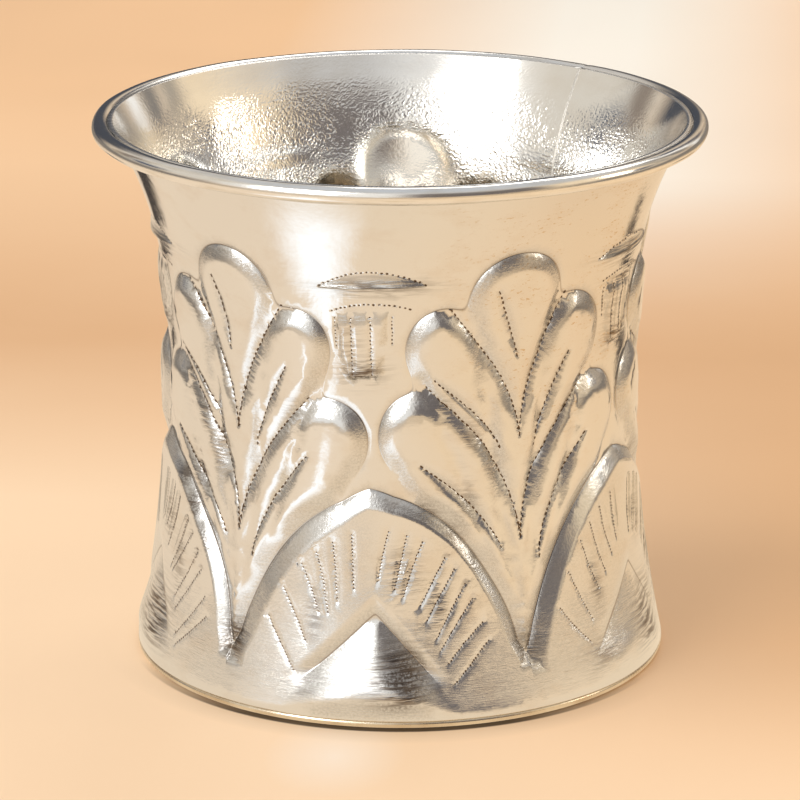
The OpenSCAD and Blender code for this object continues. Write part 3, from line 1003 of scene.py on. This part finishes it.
def build_wire():
    """A drawn wire, a little uneven, with its two ends butted at the seam."""
    turn = np.arange(28) * 2 * math.pi / 28
    profile = np.column_stack([WIRE_RING_R + WIRE_R * np.cos(turn), WIRE_Z + WIRE_R * np.sin(turn)])

    def wobble(r, z, angle):
        lift = ripple(angle, (0.02, 5, 0.7), (0.014, 11, 0))
        from_joint = math.degrees(math.sin((math.radians(SEAM_ANGLE) - angle) / 2) * 2)
        pinch = 1 - JOINT_PINCH * math.exp(-(from_joint / JOINT_W) ** 2)
        swell = pinch * (WIRE_SHARE + ripple(angle, (0.012, 17, 0), (0.012, 8, 2)))
        return WIRE_RING_R + (r - WIRE_RING_R) * swell, WIRE_Z + (z - WIRE_Z) * swell + lift

    return turned("rim_wire_ring", profile, 480, wobble)


wire = placed("rim_wire_ring", build_wire())
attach(wire, "root")
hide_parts("rim_wire")

RIM_SOLDER_DROP = 0.55
RIM_SOLDER_BELOW_TOP = 0.12
IN_WIRE = 0.985
IN_LIP = 0.04


def build_rim_solder():
    """Solder in the crevice between lip and wire, with an uneven edge above and below."""
    low, high = WIRE_Z - RIM_SOLDER_DROP, WALL_TOP - RIM_SOLDER_BELOW_TOP
    way = np.linspace(-math.asin(RIM_SOLDER_DROP / WIRE_R), math.asin((high - WIRE_Z) / WIRE_R), 9)
    r = IN_WIRE * WIRE_R
    by_wire = np.column_stack([WIRE_RING_R - r * np.cos(way), WIRE_Z + r * np.sin(way)])
    by_lip = [(lip_r(z) - IN_LIP, z) for z in np.linspace(high, low, 6)]

    def wobble(r, z, angle):
        lift = ripple(angle, (0.06, 23, 0), (0.05, 41, 1), (0.03, 7, 0))
        share = (z - low) / (high - low)
        return r, z + lift * (2 * share - 1) ** 3

    return turned("rim_solder_fill", np.concatenate([by_wire, by_lip]), 360, wobble)


rim_solder = placed("rim_solder_fill", build_rim_solder())
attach(rim_solder, "root")
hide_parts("rim_solder")

PLATE_SHOWS = 0.03
FILED_EDGE = 0.6
SAG = 0.1
SAG_R = FOOT_R - 2.5


def build_base():
    """The disc, with a filed edge. Its upper face sags and waves a little within the wall."""
    filed_r = FOOT_R + PLATE_SHOWS
    edge = [(filed_r - FILED_EDGE + FILED_EDGE * math.cos(a), BASE_T / 2 + BASE_T / 2 * math.sin(a))
            for a in np.radians(np.linspace(-90, 90, 11))]
    radii = np.concatenate([np.linspace(0.0, filed_r - 2, 22), [filed_r - 1]])
    profile = [(r, 0.0) for r in radii] + edge + [(r, BASE_T) for r in radii[::-1]]

    def wobble(r, z, angle):
        sag = -SAG * (1 - (r / SAG_R) ** 2) + 0.02 * math.sin(3 * angle) * r / FOOT_R
        sag = sag + 0.015 * np.sin(0.8 * r + 2 * angle) * (1 - r / FOOT_R)
        return r, z + np.where((z == BASE_T) & (r < SAG_R), sag, 0)

    mesh = turned("base_plate_disc", profile, 240, wobble, closed=False)
    work = bmesh.new()
    work.from_mesh(mesh)
    bmesh.ops.remove_doubles(work, verts=work.verts, dist=1e-7)
    bmesh.ops.recalc_face_normals(work, faces=work.faces)
    work.to_mesh(mesh)
    work.free()
    return mesh


base = placed("base_plate_disc", build_base())
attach(base, "root")
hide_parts("base_plate")

FILLET = 1.0
IN_WALL = 0.1
IN_PLATE = 0.05


def build_base_solder():
    """A hollow fillet with an uneven edge, inside, where the wall stands on the base."""
    foot_in = FOOT_R - SHEET_T + 0.02
    turn = np.radians(np.linspace(0, 90, 8))
    hollow = np.column_stack([foot_in - FILLET + FILLET * np.sin(turn) * 0.999,
                              BASE_T + FILLET * (1 - np.cos(turn))])
    hidden = [(foot_in + IN_WALL, BASE_T + FILLET / 2), (foot_in + IN_WALL, BASE_T - IN_PLATE),
              (foot_in - FILLET / 2, BASE_T - IN_PLATE)]

    def wobble(r, z, angle):
        reach = 1 + ripple(angle, (0.14, 19, 0), (0.1, 31, 2))
        return foot_in - (foot_in - r) * reach, BASE_T + (z - BASE_T) * reach

    return turned("base_solder_fillet", np.concatenate([hollow, hidden]), 300, wobble)


base_solder = placed("base_solder_fillet", build_base_solder())
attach(base_solder, "root")
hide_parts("base_solder")


# Materials


def new_node(tree, kind, inputs=(), **settings):
    """A new node. An input that is a Signal is linked, any other is set."""
    node = tree.nodes.new(kind)
    for name, value in settings.items():
        setattr(node, name, value)
    for key, value in dict(inputs).items():
        if isinstance(value, Signal):
            tree.links.new(value.socket, node.inputs[key])
        else:
            node.inputs[key].default_value = value
    return node


def signal(tree, kind, inputs=(), output=0, **settings):
    """One output of a new node."""
    return Signal(new_node(tree, kind, inputs, **settings).outputs[output])


class Signal:
    """What a node gives out. Arithmetic with it adds nodes to the same tree."""

    def __init__(self, socket):
        self.socket = socket
        self.tree = socket.id_data

    def math(self, operation, *others):
        return signal(self.tree, "ShaderNodeMath", enumerate((self, *others)), operation=operation)

    def __add__(self, other):
        return self.math("ADD", other)

    def __sub__(self, other):
        return self.math("SUBTRACT", other)

    def __mul__(self, other):
        return self.math("MULTIPLY", other)

    def __truediv__(self, other):
        return self.math("DIVIDE", other)

    def __abs__(self):
        return self.math("ABSOLUTE")

    def most(self, other):
        return self.math("MAXIMUM", other)

    def spread(self, low, high, to_low, to_high):
        """The span from low to high, spread over another span and held at its ends."""
        return signal(self.tree, "ShaderNodeMapRange", {
            0: self, 1: low, 2: high, 3: to_low, 4: to_high}, clamp=True)

    def parts(self):
        """The three parts of a vector."""
        return [Signal(socket) for socket in new_node(self.tree, "ShaderNodeSeparateXYZ", {0: self}).outputs]


def noise(place, scale, stretch=(1, 1, 1), detail=3.0, roughness=0.55):
    """Noise at a place. In the drawing's own coordinates, scale 100 gives lumps of about a millimetre."""
    stretched = signal(place.tree, "ShaderNodeMapping", {"Vector": place, "Scale": stretch})
    return signal(place.tree, "ShaderNodeTexNoise", {
        "Vector": stretched, "Scale": scale, "Detail": detail, "Roughness": roughness})


def mixed(share, first, second):
    """A colour between two others."""
    return signal(share.tree, "ShaderNodeMix", {0: share, 6: first, 7: second}, 2, data_type="RGBA")


def layered(share, below, above):
    """A shader between two others."""
    return signal(share.tree, "ShaderNodeMixShader", {0: share, 1: below, 2: above})


def glowing(tree, colour, strength=1.0):
    return signal(tree, "ShaderNodeEmission", {"Color": colour, "Strength": strength})


def new_material(name):
    material = bpy.data.materials.new(name)
    material.use_nodes = True
    material.node_tree.nodes.clear()
    return material, material.node_tree


def drawn_material(name):
    """A new material, its node tree and its place on the drawing."""
    material, tree = new_material(name)
    return material, tree, signal(tree, "ShaderNodeUVMap", uv_map="drawing")


def carried(tree, name):
    """What the mesh's points carry under a name."""
    return signal(tree, "ShaderNodeAttribute", output="Fac", attribute_name=name)


def metal(tree, colour, roughness, height, bump, distance):
    """The end of a material: bare metal with a bump."""
    normal = signal(tree, "ShaderNodeBump", {"Height": height, "Strength": bump, "Distance": distance})
    shader = signal(tree, "ShaderNodeBsdfPrincipled", {
        "Base Color": colour, "Metallic": 1.0, "Roughness": roughness, "Normal": normal})
    new_node(tree, "ShaderNodeOutputMaterial", {"Surface": shader})


SILVER = (0.83, 0.835, 0.835, 1)
DULL_SHADED_SILVER = (0.66, 0.66, 0.655, 1)
WARM_TARNISH = (0.62, 0.44, 0.25, 1)
PATINA_AND_SHADE = (0.16, 0.13, 0.11, 1)
LOW_MARKS = (0.42, 0.38, 0.34, 1)
DIRT = (0.12, 0.07, 0.035, 1)
INNER_SILVER = (0.92, 0.92, 0.91, 1)
INNER_TARNISH = (0.74, 0.66, 0.55, 1)
INNER_WARM_REFLECTION = (0.98, 0.88, 0.73, 1)
EDGE_SILVER = (0.93, 0.92, 0.9, 1)
EDGE_TARNISH = (0.7, 0.66, 0.6, 1)
WIRE_SILVER = (0.9, 0.89, 0.87, 1)
WIRE_TARNISH = (0.66, 0.58, 0.46, 1)
SOLDER = (0.84, 0.83, 0.80, 1)
SOLDER_TARNISH = (0.5, 0.42, 0.32, 1)
PLATE = (0.8, 0.70, 0.55, 1)
PLATE_TARNISH = (0.45, 0.29, 0.14, 1)


def wall_outside():
    """Polished silver, brushed round the cup, with dull grainy slopes darkened as painted shade, and dirt in
    the punched dots.
    """
    material, tree, drawing = drawn_material("wall_silver_outside")
    across, up, _ = drawing.parts()
    dirt, worked, left = carried(tree, "dirt"), carried(tree, "worked"), carried(tree, "soot_and_shade")
    scratches = noise(drawing, 90, (0.35, 14, 1), 4.0, 0.7)
    gouges = noise(drawing, 42, (0.5, 5, 1), 2.5, 0.6)
    waves = noise(drawing, 30)
    dents = noise(drawing, 11, (0.7, 1, 1), 1.0)
    cloud = noise(drawing, 14, (1, 1.6, 1), 5.0, 0.65)
    specks = noise(drawing, 240, (0.6, 1.2, 1), 2.0, 0.7)
    grain = noise(drawing, 330, (1, 1, 1), 2.0, 0.6)
    by_side = across.spread(1.2, 1.35, 0, 1) * up.spread(0.3, 0.42, 0, 1)
    low = up.spread(0.09, 0.14, 1, 0) * up.spread(0.015, 0.035, 0, 1)

    # Painted shade: steep and worked slopes turn a greyer silver, besides their real dull grain
    dull_and_shade = worked * grain.spread(0.35, 0.6, 1, 0.4)
    hatch = gouges.spread(0.44, 0.56, 0.1, 1).most(dull_and_shade)
    tarnish = cloud.spread(0.5, 0.75, 0, 0.2) + by_side * 0.12
    speckled = cloud.spread(0.45, 0.58, 0, 1) * (by_side + 0.1).math("MINIMUM", 1.0)
    speckle = specks.spread(0.58, 0.64, 0, 0.8) * speckled
    colour = mixed(dull_and_shade, SILVER, DULL_SHADED_SILVER)
    # Soot, partly real tarnish and partly painted shade on the hill and the palmettes' slopes
    colour = mixed(left * hatch * 0.85, colour, PATINA_AND_SHADE)
    colour = mixed(tarnish.most(speckle), colour, WARM_TARNISH)
    colour = mixed(scratches.spread(0.56, 0.66, 0, 0.55) * low, colour, LOW_MARKS)
    colour = mixed(dirt.spread(0.02, 0.2, 0, 0.95), colour, DIRT)

    brushed = scratches.spread(0.48, 0.75, 0.0, 0.1) * (low + 0.4)
    roughness = cloud.spread(0.3, 0.75, 0.06, 0.12) + brushed + worked * 0.18
    lines = gouges * left * 2.6 + scratches * (low * 0.5 + 0.06)
    height = lines + waves + grain * worked * 0.6 + dents * 5.0
    metal(tree, colour, roughness, height, 0.25, 0.0002)
    return material


def wall_inside():
    """The back of the sheet, pebbled by the hammer. The dents of the ornament are smoother, with a painted
    warm reflection.
    """
    material, tree, drawing = drawn_material("wall_silver_inside")
    up = drawing.parts()[1]
    pressed = carried(tree, "worked")
    cloud = noise(drawing, 16, (1, 1.5, 1), 4.0)
    colour = mixed(cloud.spread(0.42, 0.75, 0, 0.3), INNER_SILVER, INNER_TARNISH)
    # Painted reflection: the dents of the ornament are tinted warm
    colour = mixed(pressed.spread(0.7, 0.95, 0, 0.5), colour, INNER_WARM_REFLECTION)
    crinkles = abs(noise(drawing, 150, (1, 1, 1), 1.5, 0.5) - 0.5)
    patches = noise(drawing, 22, (1, 1, 1), 2.0)
    below = up.spread(0.6, 0.64, 1, 0.12) * patches.spread(0.35, 0.6, 0.35, 1)
    pebbles = crinkles * below * pressed.spread(0.2, 0.7, 1, 0.2)
    metal(tree, colour, cloud.spread(0.3, 0.7, 0.10, 0.18), pebbles, 0.5, 0.0004)
    return material


def cut_edge():
    """The sheet's edges, filed."""
    material, tree, drawing = drawn_material("wall_silver_edge")
    filing = noise(drawing, 200, (3, 1, 1), 2.0)
    colour = mixed(filing.spread(0.4, 0.7, 0, 0.5), EDGE_SILVER, EDGE_TARNISH)
    metal(tree, colour, filing.spread(0.3, 0.7, 0.18, 0.35), filing, 0.2, 0.0001)
    return material


def wire_metal():
    """Drawn silver wire, worn and a little tarnished."""
    material, tree, drawing = drawn_material("wire_silver")
    lines = noise(drawing, 60, (0.3, 6, 1), 3.0, 0.6)
    worn = noise(drawing, 24, (1, 4, 1))
    colour = mixed(worn.spread(0.45, 0.75, 0, 0.5), WIRE_SILVER, WIRE_TARNISH)
    metal(tree, colour, worn.spread(0.3, 0.7, 0.08, 0.2), lines, 0.12, 0.0001)
    return material


def solder_metal():
    """Solder, lumpy and tarnished."""
    material, tree, drawing = drawn_material("solder")
    lumps = noise(drawing, 120, (1, 3, 1), 4.0, 0.6)
    colour = mixed(lumps.spread(0.45, 0.7, 0, 0.6), SOLDER, SOLDER_TARNISH)
    metal(tree, colour, lumps.spread(0.3, 0.7, 0.2, 0.36), lumps, 0.3, 0.0001)
    return material


def base_metal():
    """Rolled plate with brown tarnish."""
    material, tree = new_material("base_silver")
    place = signal(tree, "ShaderNodeTexCoord", output="Object")
    rolled = noise(place, 300.0, (1, 14, 1), 4.0, 0.5)
    cloud = noise(place, 130.0, (1, 1, 1), 4.0, 0.5)
    colour = mixed(cloud.spread(0.42, 0.72, 0, 0.65), PLATE, PLATE_TARNISH)
    roughness = cloud.spread(0.3, 0.7, 0.16, 0.28) + rolled.spread(0.5, 0.7, 0, 0.1)
    metal(tree, colour, roughness, rolled, 0.15, 0.0001)
    return material


def paint(piece, *materials):
    for material in materials:
        piece.data.materials.append(material)


solder = solder_metal()
paint(wall, wall_outside(), wall_inside(), cut_edge())
paint(seam, solder)
paint(wire, wire_metal())
paint(rim_solder, solder)
paint(base, base_metal())
paint(base_solder, solder)


# Camera, at the photograph's angle. Azimuths are counted from the front, to the right, in degrees
VIEW_AZIMUTH = 5.0
VIEW_ELEVATION = 17.12
VIEW_DISTANCE = 0.5226
VIEW_AIM_Z = 0.03083
IMAGE_PX = 800
FOCAL_PX = 4208


def looking(name, data, azimuth, elevation, distance, aim_z):
    """A camera or lamp that looks at a point of the cup's axis."""
    a, e = math.radians(azimuth), math.radians(elevation)
    way = Vector((math.sin(a) * math.cos(e), -math.cos(a) * math.cos(e), math.sin(e)))
    piece = placed(name, data)
    piece.location = Vector((0, 0, aim_z)) + way * distance
    piece.rotation_mode = "QUATERNION"
    piece.rotation_quaternion = way.to_track_quat("Z", "Y")
    return piece


camera_data = bpy.data.cameras.new("camera")
camera_data.sensor_width = 36.0
camera_data.lens = camera_data.sensor_width * FOCAL_PX / IMAGE_PX
camera_data.clip_start = 0.01
camera_data.clip_end = 20.0
bpy.context.scene.camera = looking(
    "camera", camera_data, VIEW_AZIMUTH, VIEW_ELEVATION, VIEW_DISTANCE, VIEW_AIM_Z)


# Floor, light and surroundings. The pool is a band of light on the floor, with half widths near the cup and
# away from it
FLOOR_R = 2.5
FLOOR_COLOUR = (0.93, 0.68, 0.455, 1)
FLOOR_SHADE_GOLD = (0.93, 0.545, 0.27, 1)
FLOOR_SHADE = (0.70, 0.41, 0.21, 1)
PAINTED_FLOOR_LIGHT = (1.0, 0.96, 0.88, 1)
REFLECTED_GLOW_LEFT = (0.87, 0.73, 0.56, 1)
REFLECTED_GLOW_RIGHT = (1.0, 0.77, 0.50, 1)
GLOOM = (0.06, 0.05, 0.045, 1)
FAR_GLOOM = (0.20, 0.18, 0.16, 1)
POOL_LIGHT = (1, 0.99, 0.97, 1)
POOL_STRENGTH = 1.3
POOL_FROM = (-0.036, -0.050)
POOL_TO = (-0.064, -0.135)
POOL_NEAR_W = 0.018
POOL_W = 0.006
THROWN_LIGHT = (1, 0.98, 0.94, 1)
THROWN_MIDDLE = (-0.004, -0.042)
THROWN_HALF = (0.006, 0.009)
CONTACT_SHADOW = (0.03, 0.015, 0.005, 1)
CONTACT_R = (PLATE_R + 0.5) * MM
CONTACT_LINE = 0.0004
CONTACT_SHADE = 0.004


def apart(x, y, middle=(0, 0), half=(1, 1)):
    """Distance from a middle, counted in half widths."""
    across, along = (x - middle[0]) / half[0], (y - middle[1]) / half[1]
    return (across * across + along * along).math("SQRT")


def floor_colour(x, y, from_axis, grain, glossy):
    """Pale peach, with painted shade: more golden on the right and behind the cup, and behind it a soft dark
    band with a painted bright patch beyond. In front of it are a painted spot of thrown light and the
    painted shadow line where it stands."""
    # Painted shade: the floor turns more golden on its shadowed right side and behind the cup
    golden_shade = x.spread(0.0, 0.06, 0, 1) * y.spread(-0.05, 0.0, 0.25, 1)
    colour = mixed(golden_shade.most(y.spread(0.05, 0.3, 0, 0.6)), FLOOR_COLOUR, FLOOR_SHADE_GOLD)
    # Painted light: a bright patch on the floor far behind the cup
    beyond = y.spread(0.13, 0.23, 0, 1) * abs(x - 0.01).spread(0.008, 0.065, 1, 0)
    colour = mixed(beyond, colour, PAINTED_FLOOR_LIGHT)
    band = y.spread(0.05, 0.125, 0, 1) * y.spread(0.135, 0.24, 1, 0.05)
    colour = mixed(band * grain.spread(0.3, 0.7, 0.7, 1.0), colour, FLOOR_SHADE)
    from_spot = apart(x, y, THROWN_MIDDLE, THROWN_HALF)
    colour = mixed(from_spot.spread(0.0, 1.4, 0.4, 0), colour, THROWN_LIGHT)
    # Painted shadow: a dark line and soft shade round where the cup stands
    line = from_axis.spread(CONTACT_R, CONTACT_R + CONTACT_LINE, 0.98, 0)
    shade = from_axis.spread(CONTACT_R, CONTACT_R + CONTACT_SHADE, 0.22, 0)
    contact = y.spread(-0.029, -0.012, 1, 0) * line.most(shade) * glossy.spread(0, 1, 1, 0.1)
    return mixed(contact, colour, CONTACT_SHADOW)


def pool(x, y):
    """How bright the pool of light is, a band that runs away from the cup."""
    run_x, run_y = POOL_TO[0] - POOL_FROM[0], POOL_TO[1] - POOL_FROM[1]
    length = math.hypot(run_x, run_y)
    from_x, from_y = x - POOL_FROM[0], y - POOL_FROM[1]
    along = from_x * (run_x / length) + from_y * (run_y / length)
    across = from_x * (run_y / length) + from_y * (-run_x / length)
    half_w = along.spread(0.015, 0.06, POOL_NEAR_W, POOL_W)
    ends = along.spread(-0.01, 0.01, 0, 1) * along.spread(length - 0.02, length + 0.02, 1, 0)
    return (abs(across) / half_w).spread(0.4, 1.6, 1, 0) * ends


def floor_paint():
    """The floor. Polished metal sees it as a painted pale glow, with the pool of light, with two painted
    dark reflections behind the cup, and a painted dimness far away."""
    material, tree = new_material("floor")
    place = signal(tree, "ShaderNodeTexCoord", output="Object")
    x, y, _ = place.parts()
    from_axis = apart(x, y)
    grain = noise(place, 14.0, (1, 1, 1), 3.0, 0.5)
    glossy = signal(tree, "ShaderNodeLightPath", output="Is Glossy Ray")
    shader = signal(tree, "ShaderNodeBsdfPrincipled", {
        "Base Color": floor_colour(x, y, from_axis, grain, glossy),
        "Roughness": grain.spread(0.3, 0.7, 0.42, 0.55)})

    # Painted reflection: polished metal sees the floor as a pale glow, strongest near the cup
    reflected_glow = mixed(x.spread(-0.06, 0.10, 0, 1), REFLECTED_GLOW_LEFT, REFLECTED_GLOW_RIGHT)
    shader = layered(glossy * from_axis.spread(0.036, 0.07, 0.96, 0.75), shader, glowing(tree, reflected_glow))
    shader = layered(pool(x, y) * glossy, shader, glowing(tree, POOL_LIGHT, POOL_STRENGTH))
    # Painted dark reflections: two dark places behind the cup and a dim far floor, seen only by polished
    # metal
    aside = abs(x)
    gloom = aside.spread(0.087, 0.091, 0, 1) * aside.spread(0.103, 0.108, 1, 0)
    gloom = gloom * (y.spread(0.075, 0.09, 0, 1) * y.spread(0.135, 0.15, 1, 0))
    far = from_axis.spread(0.21, 0.32, 0, 0.9) * y.spread(-0.3, -0.1, 0.3, 1)
    shader = layered(gloom.most(far) * glossy, shader, glowing(tree, mixed(far, GLOOM, FAR_GLOOM)))
    new_node(tree, "ShaderNodeOutputMaterial", {"Surface": shader})
    return material


def build_floor():
    """A round floor, in one face."""
    count = 96
    turn = np.arange(count) * 2 * math.pi / count
    points = np.column_stack([np.cos(turn), np.sin(turn), np.zeros(count)]) * FLOOR_R
    mesh = bpy.data.meshes.new("floor")
    mesh.from_pydata([tuple(p) for p in points], [], [tuple(range(count))])
    mesh.materials.append(floor_paint())
    return mesh


floor = placed("floor", build_floor())

LAMPS_AIM_Z = 0.04


def lamp(name, azimuth, elevation, distance, size, watts, colour):
    """A soft box that looks at the cup."""
    data = bpy.data.lights.new(name, "AREA")
    data.shape = "RECTANGLE"
    data.size, data.size_y = size
    data.energy = watts
    data.color = colour
    return looking(name, data, azimuth, elevation, distance, LAMPS_AIM_Z)


lamp("key_box", -34, 30, 0.7, (0.36, 0.46), 1.8, (1.0, 0.99, 0.97))
side_box = lamp("side_box", -74, 50, 0.8, (0.4, 0.4), 2.25, (1.0, 0.97, 0.92))
side_box.visible_glossy = False
back_box = lamp("back_box", 180, 50, 0.75, (0.5, 0.3), 1.3, (1.0, 0.97, 0.92))
back_box.rotation_quaternion = (1, 0, 0, 0)
back_box.location.x += 0.16
lamp("right_box", 92, 20, 0.7, (0.12, 0.2), 0.3, (1.0, 0.95, 0.86))

# Colours of the sky by the height of the direction, from level to straight up
SKY = ((0.0, (0.76, 0.58, 0.40, 1)), (0.35, (0.72, 0.58, 0.43, 1)), (0.6, (0.62, 0.58, 0.53, 1)),
       (1.0, (0.58, 0.60, 0.63, 1)))
# Azimuth, its half width, elevation, its half height, softness, colour
PATCHES = (
    (180, 115, 0, 5, 4, (0.22, 0.20, 0.18, 1)),
    (-88, 42, 28, 22, 10, (0.72, 0.66, 0.57, 1)),
    (-24, 34, 18, 30, 12, (0.96, 0.93, 0.88, 1)),
    (78, 40, 19, 16, 8, (0.95, 0.76, 0.52, 1)),
    (34, 27, 16, 23, 6, (0.19, 0.165, 0.155, 1)),
    (-102, 9, 14, 6, 4, (0.05, 0.07, 0.12, 1)),
    (104, 9, 12, 6, 4, (0.05, 0.07, 0.12, 1)),
    (121, 4, 22, 14, 2.5, (0.38, 0.33, 0.27, 1)),
    (135, 5, 24, 14, 2.5, (0.22, 0.20, 0.18, 1)),
    (-120, 6, 20, 12, 3, (0.26, 0.21, 0.17, 1)),
    (147, 4, 20, 16, 2.5, (1.0, 0.97, 0.92, 1)),
    (158, 6, 24, 13, 3, (0.10, 0.10, 0.12, 1)),
    (-160, 24, 12, 19, 6, (0.07, 0.075, 0.09, 1)),
)


def surroundings():
    """Beige at the horizon, a cool grey higher up, with the soft lights and darks of a room."""
    world = bpy.data.worlds.new("studio")
    world.use_nodes = True
    tree = world.node_tree
    tree.nodes.clear()
    x, y, z = signal(tree, "ShaderNodeTexCoord", output="Generated").parts()
    shade = signal(tree, "ShaderNodeValToRGB", {0: z})
    elements = shade.socket.node.color_ramp.elements
    while len(elements) < len(SKY):
        elements.new(0.5)
    for element, (place, colour) in zip(elements, SKY):
        element.position = place
        element.color = colour
    around = x.math("ARCTAN2", y * -1.0).math("DEGREES")
    up = z.math("ARCSINE").math("DEGREES")
    for azimuth, half_w, elevation, half_h, soft, colour in PATCHES:
        aside = abs((around - azimuth).math("WRAP", 180.0, -180.0))
        beside = aside.spread(half_w - soft, half_w + soft, 1, 0)
        above = abs(up - elevation).spread(half_h - soft, half_h + soft, 1, 0)
        shade = mixed(beside * above, shade, colour)
    light = signal(tree, "ShaderNodeBackground", {"Color": shade, "Strength": 1.0})
    new_node(tree, "ShaderNodeOutputWorld", {"Surface": light})
    bpy.context.scene.world = world


surroundings()
bpy.context.scene.view_settings.view_transform = "Standard"
